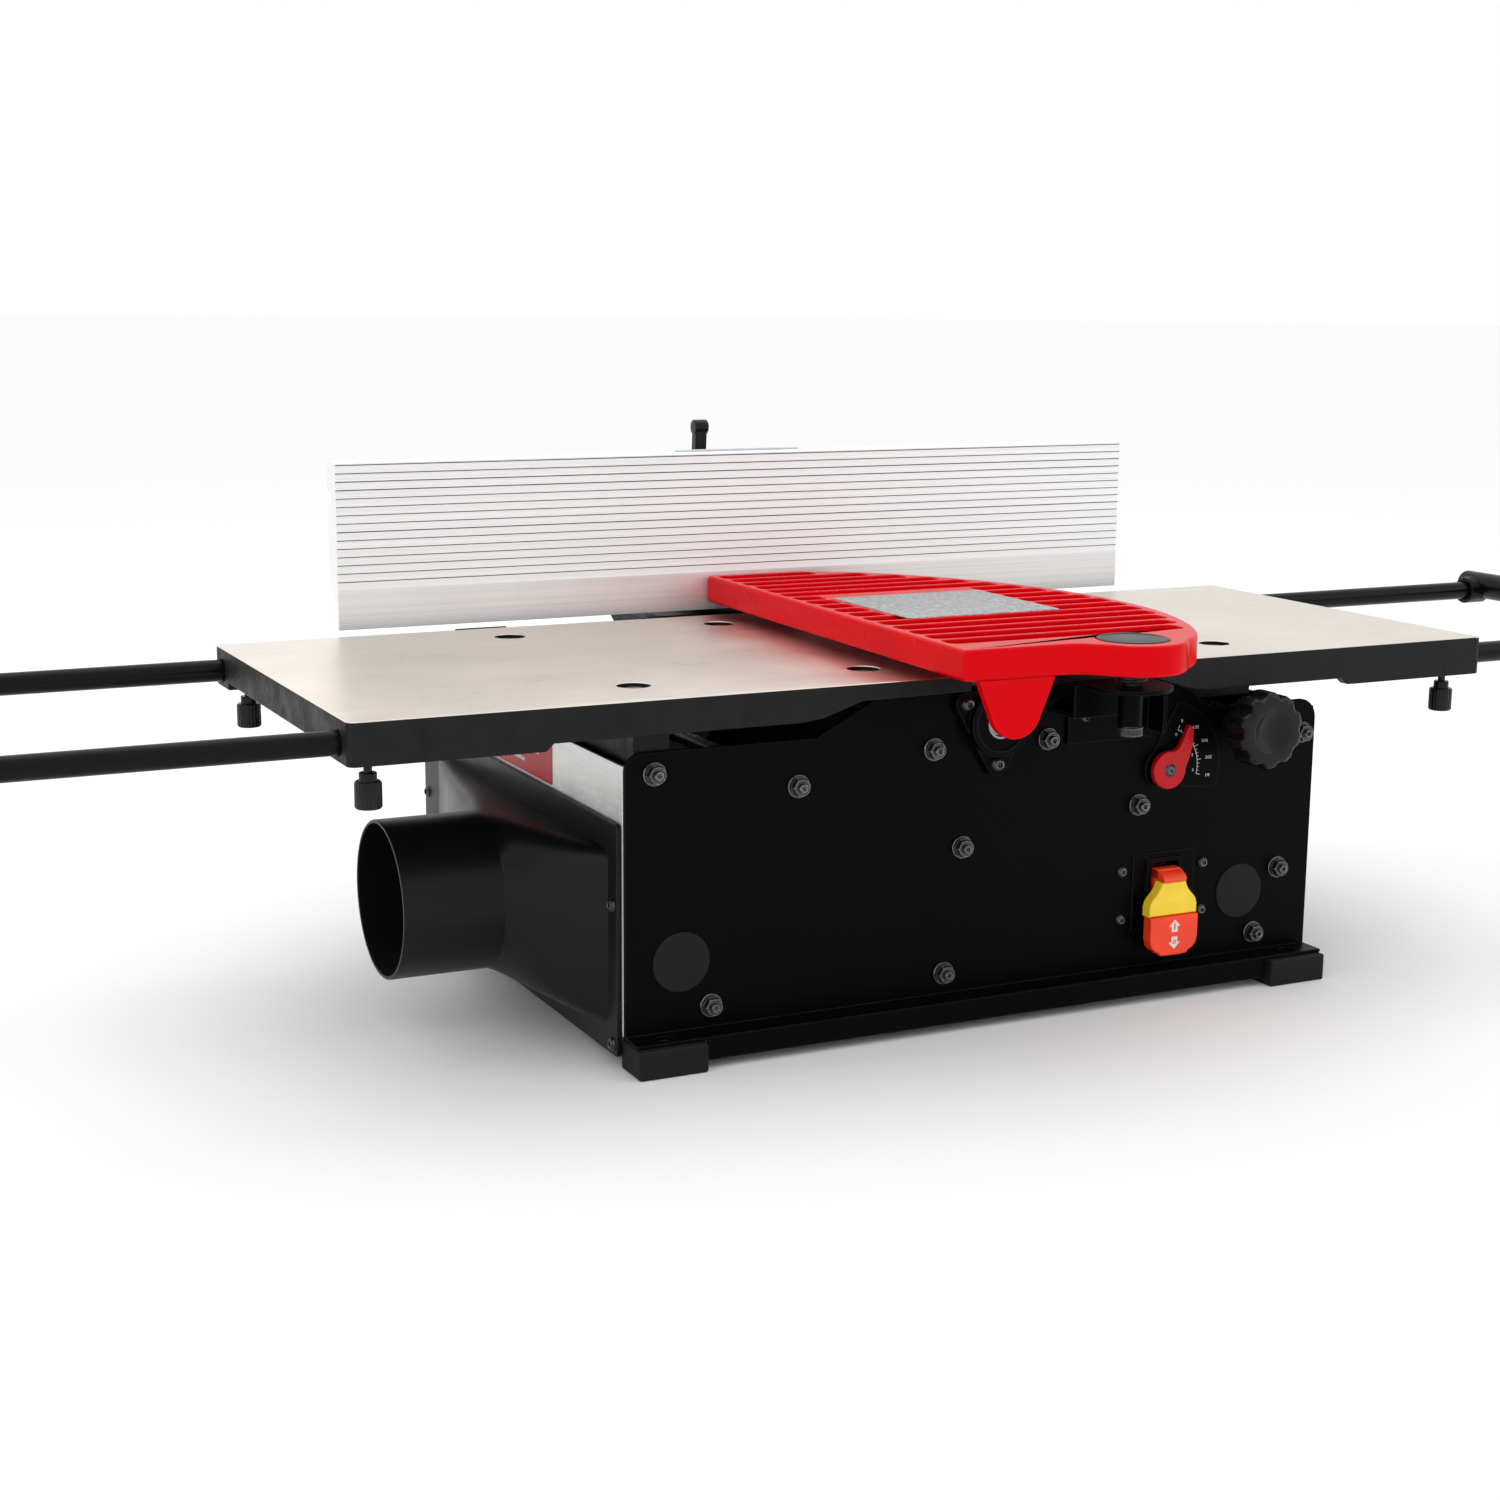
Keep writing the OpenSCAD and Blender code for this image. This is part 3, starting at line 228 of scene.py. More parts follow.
def makeDust():
    # faint settled dust on what faces up
    group, given, result, place = startGroup("dust", [("Amount", "Float", 0.1)], [("Mask", "Float")])
    facing = addNode(group, "NewGeometry")
    parts = addNode(group, "SeparateXYZ", [("Vector", facing.outputs["Normal"])])
    up = addNode(group, "MapRange", [("Value", parts.outputs["Z"]), ("From Min", 0.3), ("From Max", 1.0)])
    specks = addNode(group, "TexNoise", [("Vector", place), ("Scale", 55.0), ("Detail", 8.0), ("Roughness", 0.75)])
    both = addNode(group, "Math", operation="MULTIPLY")
    group.links.new(up.outputs["Result"], both.inputs[0])
    group.links.new(specks.outputs["Fac"], both.inputs[1])
    scaled = addNode(group, "Math", operation="MULTIPLY", use_clamp=True)
    group.links.new(both.outputs["Value"], scaled.inputs[0])
    group.links.new(given["Amount"], scaled.inputs[1])
    group.links.new(scaled.outputs["Value"], result["Mask"])
    return group


mottle = makeMottle()
grain = makeGrain()
edgeRubAndHighlight = makeEdgeRub()
toolMarks = makeToolMarks()
dust = makeDust()


def place(tree, group, values):
    node = tree.nodes.new("ShaderNodeGroup")
    node.node_tree = group
    for name, value in values.items():
        node.inputs[name].default_value = value
    return node.outputs


def tint(colour, factor):
    return tuple(min(1, channel * factor) for channel in colour) + (1,)


def coated(name, colour, low, high, spread=0.25, patch=30, grainScale=900, grainStrength=0.15, grainDepth=0.0002,
           edge=0.3, edgeRubAndHighlightColour=None, coat=0.0, coatRough=0.1, specular=0.5, metal=0.0, dusty=0.04):
    # paint, powder coat, enamel or moulded plastic
    material = bpy.data.materials.new(name)
    material.use_nodes = True
    tree = material.node_tree
    shader = tree.nodes["Principled BSDF"]
    cloud = place(tree, mottle, {"Scale": patch, "Light": tint(colour, 1 + spread), "Dark": tint(colour, 1 - spread),
                                 "Low": low, "High": high})
    rubAndHighlight = place(tree, edgeRubAndHighlight, {"Reach": edge})
    settled = place(tree, dust, {"Amount": dusty})
    bumps = place(tree, grain, {"Scale": grainScale, "Strength": grainStrength, "Depth": grainDepth})
    # edges mixed towards a lighter colour (the given edge colour, or the base made 1.9 times brighter): thinned coat
    # and painted highlight
    rubbedAndHighlit = mixColour(tree, rubAndHighlight["Mask"], cloud["Color"], tint(edgeRubAndHighlightColour or colour, 1.9 if not edgeRubAndHighlightColour else 1))
    shown = mixColour(tree, settled["Mask"], rubbedAndHighlit, (0.55, 0.5, 0.43, 1))
    tree.links.new(shown, shader.inputs["Base Color"])
    tree.links.new(cloud["Gloss"], shader.inputs["Roughness"])
    tree.links.new(bumps["Normal"], shader.inputs["Normal"])
    shader.inputs["Metallic"].default_value = metal
    shader.inputs["Coat Weight"].default_value = coat
    shader.inputs["Coat Roughness"].default_value = coatRough
    shader.inputs["Specular IOR Level"].default_value = specular
    return material


def drawn(name, colour, low, high, stretch, marks=0.1, spread=0.12, patch=20, metal=1.0, specular=0.5):
    # bare metal with the marks of the tool that made it
    material = bpy.data.materials.new(name)
    material.use_nodes = True
    tree = material.node_tree
    shader = tree.nodes["Principled BSDF"]
    cloud = place(tree, mottle, {"Scale": patch, "Light": tint(colour, 1 + spread), "Dark": tint(colour, 1 - spread),
                                 "Low": low, "High": high})
    lines = place(tree, toolMarks, {"Stretch": stretch, "Strength": marks})
    streak = addNode(tree, "MapRange", [("Value", lines["Value"]), ("From Min", 0.3), ("From Max", 0.7),
                                        ("To Min", 0.82), ("To Max", 1.0)])
    shown = mixColour(tree, 1.0, cloud["Color"], streak.outputs["Result"], "MULTIPLY")
    rough = addNode(tree, "Math", operation="MULTIPLY_ADD", use_clamp=True)
    tree.links.new(lines["Value"], rough.inputs[0])
    rough.inputs[1].default_value = 0.12
    tree.links.new(cloud["Gloss"], rough.inputs[2])
    tree.links.new(shown, shader.inputs["Base Color"])
    tree.links.new(rough.outputs["Value"], shader.inputs["Roughness"])
    tree.links.new(lines["Normal"], shader.inputs["Normal"])
    shader.inputs["Metallic"].default_value = metal
    shader.inputs["Specular IOR Level"].default_value = specular
    return material


# each coated finish's edge colour is lighter than its base: thinned coat and painted highlight along the edges
finishes = {
    "panelPaint": coated("panelPaint", (0.0009, 0.001, 0.0013), 0.34, 0.46, grainScale=2200, grainStrength=0.12,
                         edge=1.2, edgeRubAndHighlightColour=(0.05, 0.052, 0.055), specular=0.05,
                         dusty=0.004),
    "castBlack": coated("castBlack", (0.0075, 0.0078, 0.0085), 0.4, 0.64, spread=0.4, patch=70, grainScale=330,
                        grainStrength=0.75, grainDepth=0.0006, edge=0.5, edgeRubAndHighlightColour=(0.05, 0.05, 0.052),
                        specular=0.18, dusty=0.02),
    "guardRed": coated("guardRed", (0.68, 0.0006, 0.005), 0.22, 0.32, spread=0.05, patch=9, grainScale=260,
                       grainStrength=0.05, edge=0.5, edgeRubAndHighlightColour=(0.95, 0.16, 0.13), specular=0.05,
                       dusty=0.0),
    "pointerRed": coated("pointerRed", (0.5, 0.002, 0.008), 0.24, 0.32, spread=0.06, patch=60, edge=0.5,
                         edgeRubAndHighlightColour=(0.9, 0.09, 0.1), specular=0.25, dusty=0.0),
    "dustPlastic": coated("dustPlastic", (0.0035, 0.0038, 0.0045), 0.34, 0.44, spread=0.3, patch=12, grainScale=1500,
                          grainStrength=0.1, edge=0.8, edgeRubAndHighlightColour=(0.035, 0.037, 0.04), specular=0.2, dusty=0.015),
    "knobPlastic": coated("knobPlastic", (0.005, 0.005, 0.0055), 0.2, 0.34, spread=0.3, patch=80, grainScale=1400,
                          grainStrength=0.25, edge=0.6, edgeRubAndHighlightColour=(0.07, 0.07, 0.072), specular=0.22, dusty=0.006),
    "capGrey": coated("capGrey", (0.014, 0.0145, 0.015), 0.36, 0.48, spread=0.15, patch=60, grainScale=1600,
                      grainStrength=0.3, edge=0.4, edgeRubAndHighlightColour=(0.06, 0.06, 0.06), specular=0.3, dusty=0.01),
    "plugGrey": coated("plugGrey", (0.0095, 0.0097, 0.0102), 0.5, 0.62, spread=0.18, patch=60, grainScale=1800,
                       grainStrength=0.35, edge=0.4, specular=0.15, dusty=0.01),
    "rubber": coated("rubber", (0.007, 0.007, 0.0073), 0.55, 0.75, spread=0.25, patch=50, grainScale=700,
                     grainStrength=0.5, grainDepth=0.0003, edge=0.4, edgeRubAndHighlightColour=(0.035, 0.035, 0.036), specular=0.2,
                     dusty=0.03),
    "barEnamel": coated("barEnamel", (0.0025, 0.0025, 0.0027), 0.2, 0.3, spread=0.2, patch=25, grainScale=500,
                        grainStrength=0.06, edge=0.4, specular=0.14, dusty=0.006),
    "blackSteel": coated("blackSteel", (0.05, 0.05, 0.054), 0.22, 0.36, spread=0.35, patch=220, grainScale=1500,
                         grainStrength=0.2, edge=1.2, edgeRubAndHighlightColour=(0.5, 0.5, 0.51), metal=0.85, dusty=0.01),
    "keyYellow": coated("keyYellow", (0.93, 0.66, 0.025), 0.34, 0.44, spread=0.05, patch=60, edge=0.4,
                        edgeRubAndHighlightColour=(1.0, 0.85, 0.3), dusty=0.01),
    "paddleRed": coated("paddleRed", (0.93, 0.045, 0.007), 0.34, 0.44, spread=0.06, patch=60, edge=0.4,
                        edgeRubAndHighlightColour=(1.0, 0.2, 0.12), dusty=0.01),
    "motorPaint": coated("motorPaint", (0.02, 0.02, 0.022), 0.35, 0.5, spread=0.3, patch=40, grainStrength=0.3),
    "beltRubber": coated("beltRubber", (0.011, 0.011, 0.011), 0.6, 0.75, grainScale=800, grainStrength=0.4),
    "printWhite": coated("printWhite", (0.72, 0.72, 0.71), 0.4, 0.5, spread=0.06, patch=90, edge=0.0, dusty=0.0),
    "labelRed": coated("labelRed", (0.64, 0.003, 0.009), 0.26, 0.34, spread=0.04, patch=30, edge=0.3, specular=0.12,
                       dusty=0.002),
    "galvanised": drawn("galvanised", (0.93, 0.92, 0.9), 0.32, 0.46, (30.0, 30.0, 420.0), 0.05, 0.1, 46, metal=0.6),
    "groundIron": drawn("groundIron", (0.79, 0.715, 0.635), 0.2, 0.3, (3.0, 620.0, 620.0), 0.045, 0.09, 7),
    "fenceAluminium": drawn("fenceAluminium", (0.98, 0.98, 0.98), 0.36, 0.44, (1.5, 1500.0, 1500.0), 0.05, 0.02, 9,
                            metal=0.75),
    "fenceShade": drawn("fenceShade", (0.1, 0.1, 0.103), 0.4, 0.5, (1.5, 1500.0, 1500.0), 0.05, 0.05, 9,
                        metal=0.5),
    "castAluminium": drawn("castAluminium", (0.6, 0.61, 0.62), 0.42, 0.56, (260.0, 260.0, 260.0), 0.4, 0.14, 60),
    "brightSteel": drawn("brightSteel", (0.6, 0.6, 0.61), 0.2, 0.32, (900.0, 40.0, 900.0), 0.08, 0.14, 70),
    "headSteel": drawn("headSteel", (0.32, 0.325, 0.335), 0.26, 0.38, (700.0, 30.0, 700.0), 0.12, 0.18, 50),
    "carbide": drawn("carbide", (0.62, 0.63, 0.65), 0.16, 0.24, (1200.0, 1200.0, 1200.0), 0.04, 0.08, 120),
    "copper": drawn("copper", (0.6, 0.24, 0.09), 0.3, 0.42, (900.0, 60.0, 900.0), 0.3, 0.2, 90),
    "labelSilver": drawn("labelSilver", (0.4, 0.405, 0.415), 0.3, 0.46, (260.0, 700.0, 700.0), 0.3, 0.55, 330,
                         metal=0.6),
}
print("finishes made:", len(finishes))

# Working with meshes
facing = {
    "up": Matrix.Identity(4),
    "down": Matrix.Rotation(math.pi, 4, "X"),
    "front": Matrix.Rotation(math.pi / 2, 4, "X"),
    "back": Matrix.Rotation(math.pi, 4, "Z") @ Matrix.Rotation(math.pi / 2, 4, "X"),
    "left": Matrix.Rotation(-math.pi / 2, 4, "Z") @ Matrix.Rotation(math.pi / 2, 4, "X"),
    "right": Matrix.Rotation(math.pi / 2, 4, "Z") @ Matrix.Rotation(math.pi / 2, 4, "X"),
}


def addPiece(name, bm, paints, body, replaced=(), smooth=34):
    mesh = bpy.data.meshes.new(name)
    bm.to_mesh(mesh)
    bm.free()
    piece = bpy.data.objects.new(name, mesh)
    bpy.context.collection.objects.link(piece)
    for paint in [paints] if isinstance(paints, str) else paints:
        mesh.materials.append(finishes[paint])
    mesh.shade_smooth()
    mesh.set_sharp_from_angle(angle=math.radians(smooth))
    even = piece.modifiers.new("even", "WEIGHTED_NORMAL")
    even.keep_sharp = True
    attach(piece, body)
    if replaced:
        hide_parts(*replaced)
    return piece


def standFor(node, bm, paints, smooth=34, others=()):
    # a piece in a CAD node's place, on that node's body
    return addPiece(node + "_look", bm, paints, bodyOf[node], [node, *others], smooth)


def mergedCopy(node):
    bm = bmesh.new()
    bm.from_mesh(nodes[node].data)
    bmesh.ops.remove_doubles(bm, verts=bm.verts, dist=0.02 * mm)
    bmesh.ops.dissolve_limit(bm, angle_limit=math.radians(0.4), verts=bm.verts, edges=bm.edges)
    return bm


def roundEdges(bm, width, segments=2, sharp=28, chosen=None):
    if chosen is None:
        chosen = [edge for edge in bm.edges if edge.is_manifold and edge.is_convex
                  and edge.calc_face_angle(0) > math.radians(sharp)]
    bmesh.ops.bevel(bm, geom=chosen, offset=width, segments=segments, profile=0.5, affect="EDGES",
                    clamp_overlap=False, material=-1)


def join(bm, part):
    mesh = bpy.data.meshes.new("part")
    part.to_mesh(mesh)
    part.free()
    bm.from_mesh(mesh)
    bpy.data.meshes.remove(mesh)


def turned(bm, profile, centre, side="up", steps=32, shape=None, paint=0):
    # a lathe part: (radius, height) pairs from one end of the axis to the other
    part = bmesh.new()
    line = [part.verts.new((radius, 0, height)) for radius, height in profile]
    edges = [part.edges.new(pair) for pair in zip(line, line[1:])]
    bmesh.ops.spin(part, geom=line + edges, axis=(0, 0, 1), cent=(0, 0, 0), angle=2 * math.pi, steps=steps,
                   use_merge=True)
    if shape:
        for vert in part.verts:
            radius = math.hypot(vert.co.x, vert.co.y)
            if radius > 1e-7:
                wanted = shape(radius, vert.co.z, math.atan2(vert.co.y, vert.co.x))
                vert.co.x *= wanted / radius
                vert.co.y *= wanted / radius
    bmesh.ops.remove_doubles(part, verts=part.verts, dist=0.001 * mm)
    bmesh.ops.recalc_face_normals(part, faces=part.faces)
    for face in part.faces:
        face.material_index = paint
    bmesh.ops.transform(part, matrix=Matrix.Translation(centre) @ facing[side], verts=part.verts)
    join(bm, part)


def prism(bm, outline, thickness, centre, side="up", bevel=0, segments=2, paint=0):
    # a plate of that outline, which rises from its centre's plane towards the side it faces
    part = bmesh.new()
    base = part.faces.new([part.verts.new((x, y, 0)) for x, y in outline])
    raised = bmesh.ops.extrude_face_region(part, geom=[base])["geom"]
    bmesh.ops.translate(part, vec=(0, 0, thickness), verts=[v for v in raised if isinstance(v, bmesh.types.BMVert)])
    bmesh.ops.recalc_face_normals(part, faces=part.faces)
    if bevel:
        rim = [edge for edge in part.edges if all(v.co.z > thickness / 2 for v in edge.verts)]
        bmesh.ops.bevel(part, geom=rim, offset=bevel, segments=segments, profile=0.5, affect="EDGES",
                        clamp_overlap=False, material=-1)
    for face in part.faces:
        face.material_index = paint
    bmesh.ops.transform(part, matrix=Matrix.Translation(centre) @ facing[side], verts=part.verts)
    join(bm, part)


def arc(cx, cy, radius, start, end, steps=8):
    turns = [math.radians(start + (end - start) * i / steps) for i in range(steps + 1)]
    return [(cx + radius * math.cos(a), cy + radius * math.sin(a)) for a in turns]


def roundedBox(left, low, right, high, radius, steps=5):
    return (arc(right - radius, high - radius, radius, 0, 90, steps)
            + arc(left + radius, high - radius, radius, 90, 180, steps)
            + arc(left + radius, low + radius, radius, 180, 270, steps)
            + arc(right - radius, low + radius, radius, 270, 360, steps))


def islands(node):
    # lowest and highest corner of each separate solid of a node
    bm = mergedCopy(node)
    left, found = set(bm.verts), []
    while left:
        group, front = [], [left.pop()]
        while front:
            vert = front.pop()
            group.append(vert.co.copy())
            for edge in vert.link_edges:
                other = edge.other_vert(vert)
                if other in left:
                    left.discard(other)
                    front.append(other)
        found.append((Vector(min(c[i] for c in group) for i in range(3)),
                      Vector(max(c[i] for c in group) for i in range(3))))
    bm.free()
    return sorted(found, key=lambda pair: tuple(round(value, 5) for value in pair[0]))


def sixSided(flats):
    # keeps a turned shape inside a hexagon, so that its cone leaves a nut's rounded chamfers
    def shape(radius, height, angle):
        reach = flats / math.cos((angle % (math.pi / 3)) - math.pi / 6)
        return min(radius, reach)
    return shape


# Steel casing and small castings: the CAD shapes with broken edges
edgeWidths = {
    "front_panel": ("panelPaint", 0.8, 3), "rear_panel": ("panelPaint", 0.8, 3),
    "left_end_plate": ("galvanised", 0.35, 2), "right_end_plate": ("panelPaint", 0.35, 2),
    "drive_plate": ("galvanised", 0.35, 2), "rubber_feet": ("rubber", 1.6, 3),
    "outfeed_supports": ("castBlack", 0.8, 2), "front_bearing_flange": ("panelPaint", 0.7, 3),
    "rear_bearing_flange": ("castBlack", 0.7, 2), "dust_deflector": ("panelPaint", 0.2, 1),
    "lift_beam": ("castBlack", 0.9, 2), "infeed_cradle": ("castBlack", 0.9, 2),
    "motor_housing": ("motorPaint", 1.2, 2), "switch_box": ("panelPaint", 0.5, 2),
    "guard_bracket": ("panelPaint", 0.55, 3), "fence_base": ("castBlack", 0.9, 2),
    "cable_gland": ("knobPlastic", 0.5, 2), "outfeed_bars": ("barEnamel", 0.8, 2),
    "infeed_bars": ("barEnamel", 0.8, 2), "outfeed_cross_bar": ("barEnamel", 0.9, 2),
    "infeed_cross_bar": ("barEnamel", 0.9, 2), "guard_pivot_pin": ("blackSteel", 0.5, 2),
    "fence_bracket": ("castAluminium", 0.9, 2), "fence_carriage": ("castBlack", 0.9, 2),
    "fence_lock_lever": ("knobPlastic", 1.3, 3), "tilt_lock_lever": ("knobPlastic", 1.3, 3),
    "cutterhead": ("headSteel", 0.4, 2), "cutter_inserts": ("carbide", 0.25, 2),
    "cutter_pulley": ("headSteel", 0.5, 2), "motor_pulley": ("headSteel", 0.5, 2),
}
for node, (paint, width, segments) in edgeWidths.items():
    bm = mergedCopy(node)
    roundEdges(bm, width * mm, segments)
    standFor(node, bm, paint)

keptNodes = {
    "tie_rods": "blackSteel", "motor_stator": "copper", "drive_belt": "beltRubber", "depth_cam": "brightSteel",
    "motor_armature": "headSteel", "fence_hinge_pin": "brightSteel",
}
for node, paint in keptNodes.items():
    mesh = nodes[node].data
    mesh.materials.clear()
    mesh.materials.append(finishes[paint])
print("casing and small castings dressed")

# Tables: ground tops on rough black castings
tableLook = {"corner": 5.5 * mm, "edge": 0.9 * mm, "flat": 0.05 * mm}


def makeTable(node):
    bm = mergedCopy(node)
    low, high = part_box(node)
    corners = []
    for edge in bm.edges:
        one, two = (vert.co for vert in edge.verts)
        upright = abs(one.x - two.x) + abs(one.y - two.y) < tableLook["flat"]
        atEndX = min(abs(one.x - low.x), abs(one.x - high.x)) < tableLook["flat"]
        atEndY = min(abs(one.y - low.y), abs(one.y - high.y)) < tableLook["flat"]
        outer = low.x if node == "outfeed_table" else high.x
        if upright and atEndX and atEndY and abs(one.x - outer) < tableLook["flat"]:
            corners.append(edge)
    roundEdges(bm, tableLook["corner"], 5, chosen=corners)
    for face in bm.faces:
        top = face.normal.z > 0.99 and face.calc_center_median().z > high.z - tableLook["flat"]
        face.material_index = 1 if top else 0
    roundEdges(bm, tableLook["edge"], 3)
    standFor(node, bm, ["castBlack", "groundIron"])


for node in ("outfeed_table", "infeed_table"):
    makeTable(node)
print("tables made")

# Fence: a drawn section with shallow steps
bm = mergedCopy("fence")
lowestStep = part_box("fence")[0].z + 5 * mm
# faces looking down under the steps take the darker fenceShade finish: painted shade in the grooves
for face in bm.faces:
    undercut = face.normal.z < -0.5 and face.calc_center_median().z > lowestStep
    face.material_index = 1 if undercut else 0
roundEdges(bm, 0.12 * mm, 1, sharp=50)
standFor("fence", bm, ["fenceAluminium", "fenceShade"], smooth=20)
print("fence made")

# Guard: a red casting with deep ribs, a label plate and a cap over its pivot
guardLook = {"outer": 2.6 * mm, "rib": 1.1 * mm}
guardLow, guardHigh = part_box("guard")
capLow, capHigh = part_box("guard_cap")


def makeGuard():
    bm = mergedCopy("guard")
    topZ = guardHigh.z
    bodyLow = guardLow.z
    outer, inner = [], []
    for edge in bm.edges:
        if not (edge.is_manifold and edge.is_convex and edge.calc_face_angle(0) > math.radians(28)):
            continue
        depth = min(vert.co.z for face in edge.link_faces for vert in face.verts)
        atTop = all(vert.co.z > topZ - 0.05 * mm for vert in edge.verts)
        if atTop and depth > bodyLow + 1 * mm:
            inner.append(edge)
        else:
            outer.append(edge)
    roundEdges(bm, guardLook["rib"], 3, chosen=inner)
    wide = [edge for edge in bm.edges if edge.is_manifold and edge.is_convex
            and edge.calc_face_angle(0) > math.radians(50)]
    roundEdges(bm, guardLook["outer"], 5, chosen=wide)
    tongue = mergedCopy("guard_tongue")
    roundEdges(tongue, guardLook["rib"], 3)
    join(bm, tongue)
    standFor("guard", bm, "guardRed", others=["guard_tongue"])


makeGuard()
labelPlate = {"left": -36.0, "right": 81.0, "rear": -28.5, "front": -137.5, "corner": 3, "thick": 0.5}
bm = bmesh.new()
prism(bm, [(x * mm, y * mm) for x, y in roundedBox(labelPlate["left"], labelPlate["front"], labelPlate["right"],
                                                   labelPlate["rear"], labelPlate["corner"])],
      labelPlate["thick"] * mm, (0, 0, guardHigh.z), bevel=0.2 * mm)
addPiece("guard_label", bm, "labelSilver", bodyOf["guard"])

bm = bmesh.new()
capRadius = (capHigh.x - capLow.x) / 2
capCentre = (capLow + capHigh) / 2
capHeight = capHigh.z - capLow.z
turned(bm, [(0, 0), (capRadius, 0), (capRadius, capHeight - 0.9 * mm), (capRadius - 0.4 * mm, capHeight - 0.25 * mm),
            (capRadius - 1.1 * mm, capHeight), (capRadius - 2.6 * mm, capHeight - 0.05 * mm),
            (capRadius - 3.2 * mm, capHeight - 0.5 * mm), (capRadius - 4 * mm, capHeight - 0.45 * mm),
            (capRadius * 0.5, capHeight - 0.3 * mm), (0, capHeight - 0.2 * mm)],
       (capCentre.x, capCentre.y, capLow.z), steps=96)
standFor("guard_cap", bm, "capGrey")
print("guard made")

# Torsion spring round the guard's pin
springLook = {"turns": 2.6, "wire": 1.15 * mm, "steps": 72}
springLow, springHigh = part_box("guard_spring")
bm = bmesh.new()
springRadius = (springHigh.x - springLow.x) / 2 - springLook["wire"]
rise = springHigh.z - springLow.z - 2 * springLook["wire"]
ring = bmesh.ops.create_circle(bm, segments=10, radius=springLook["wire"])["verts"]
bmesh.ops.rotate(bm, verts=ring, cent=(0, 0, 0), matrix=Matrix.Rotation(math.pi / 2, 3, "X"))
bmesh.ops.translate(bm, verts=ring, vec=(springRadius, 0, springLow.z + springLook["wire"]))
bmesh.ops.spin(bm, geom=list(bm.verts) + list(bm.edges), axis=(0, 0, 1), cent=(0, 0, 0),
               dvec=(0, 0, rise / springLook["steps"]), angle=2 * math.pi * springLook["turns"],
               steps=springLook["steps"])
bmesh.ops.holes_fill(bm, edges=[edge for edge in bm.edges if edge.is_boundary], sides=0)
bmesh.ops.recalc_face_normals(bm, faces=bm.faces)
middle = (springLow + springHigh) / 2
bmesh.ops.translate(bm, verts=bm.verts, vec=(middle.x, middle.y, 0))
standFor("guard_spring", bm, "blackSteel", smooth=60)

# Nuts, washers and screws
fastener = {"flats": 5.25, "corner": 6.05, "stud": 2.95, "washer": 7.55}


def panelNut(bm, centre, side):
    w, c, s = fastener["washer"] * mm, fastener["corner"] * mm, fastener["stud"] * mm
    turned(bm, [(2.9 * mm, 0), (w - 0.3 * mm, 0), (w, 0.3 * mm), (w, 0.8 * mm), (w - 0.35 * mm, 1.15 * mm),
                (2.9 * mm, 1.15 * mm)], centre, side, 40)
    turned(bm, [(2.9 * mm, 1.15 * mm), (c - 0.75 * mm, 1.15 * mm), (c + 0.05 * mm, 1.6 * mm), (c + 0.05 * mm, 5.7 * mm),
                (c - 0.8 * mm, 6.2 * mm), (3.3 * mm, 6.2 * mm), (2.85 * mm, 5.8 * mm)], centre, side, 48,
           sixSided(fastener["flats"] * mm))
    socket = sixSided(1.5 * mm)

    def stud(radius, height, angle):
        if radius < 1.8 * mm:
            return socket(radius, height, angle)
        phase = (height / mm - angle / (2 * math.pi)) % 1
        return radius - (0.28 * mm * abs(2 * phase - 1) if 6.3 * mm < height < 8.1 * mm and radius > 2.7 * mm else 0)
    rings = [(s, (6.3 + 0.25 * i) * mm) for i in range(8)]
    turned(bm, [(0, 1 * mm), (s, 1 * mm)] + rings + [(s - 0.35 * mm, 8.45 * mm), (1.85 * mm, 8.5 * mm),
                                                   (1.74 * mm, 8.3 * mm), (1.73 * mm, 6.6 * mm), (0, 6.3 * mm)],
           centre, side, 36, stud)


def buttonScrew(bm, centre, side, radius, height, socket=0.45, paint=0):
    # a domed head with a hexagon socket
    hole = radius * socket
    dome = [(radius * math.cos(math.radians(a)), height * (0.18 + 0.82 * math.sin(math.radians(a))))
            for a in (0, 15, 32, 50, 62)]
    recess = sixSided(hole * 0.866)

    def shape(distance, level, angle):
        return recess(distance, level, angle) if distance < hole * 1.005 else distance
    turned(bm, [(0, 0), (radius, 0)] + dome + [(hole * 1.06, height), (hole, height * 0.95), (hole, height * 0.35),
                                             (0, height * 0.25)], centre, side, 36, shape, paint)


bm = bmesh.new()
for low, high in islands("panel_nuts"):
    middle = (low + high) / 2
    atFront = middle.y < 0
    panelNut(bm, (middle.x, high.y if atFront else low.y, middle.z), "front" if atFront else "back")
standFor("panel_nuts", bm, "blackSteel")

bm = bmesh.new()
for low, high in islands("casing_screws"):
    middle = (low + high) / 2
    if high.x - low.x < high.y - low.y:
        buttonScrew(bm, (high.x, middle.y, middle.z), "left", (high.y - low.y) / 2, high.x - low.x)
    else:
        bare = 1 if middle.z < 45 * mm else 0
        buttonScrew(bm, (middle.x, high.y, middle.z), "front", (high.x - low.x) / 2, high.y - low.y, paint=bare)
standFor("casing_screws", bm, ["blackSteel", "brightSteel"])

bm = bmesh.new()
for low, high in islands("flange_bolts"):
    middle = (low + high) / 2
    radius = (high.x - low.x) / 2
    headFront = middle.y < 0
    start = high.y if headFront else low.y
    seat = low.y + 4 * mm if headFront else high.y - 4 * mm
    turned(bm, [(0, 0), (2.9 * mm, 0), (2.9 * mm, abs(seat - start)), (0, abs(seat - start))],
           (middle.x, start, middle.z), "front" if headFront else "back", 24)
    buttonScrew(bm, (middle.x, seat, middle.z), "front" if headFront else "back", radius, 4 * mm, 0.5)
standFor("flange_bolts", bm, "blackSteel")

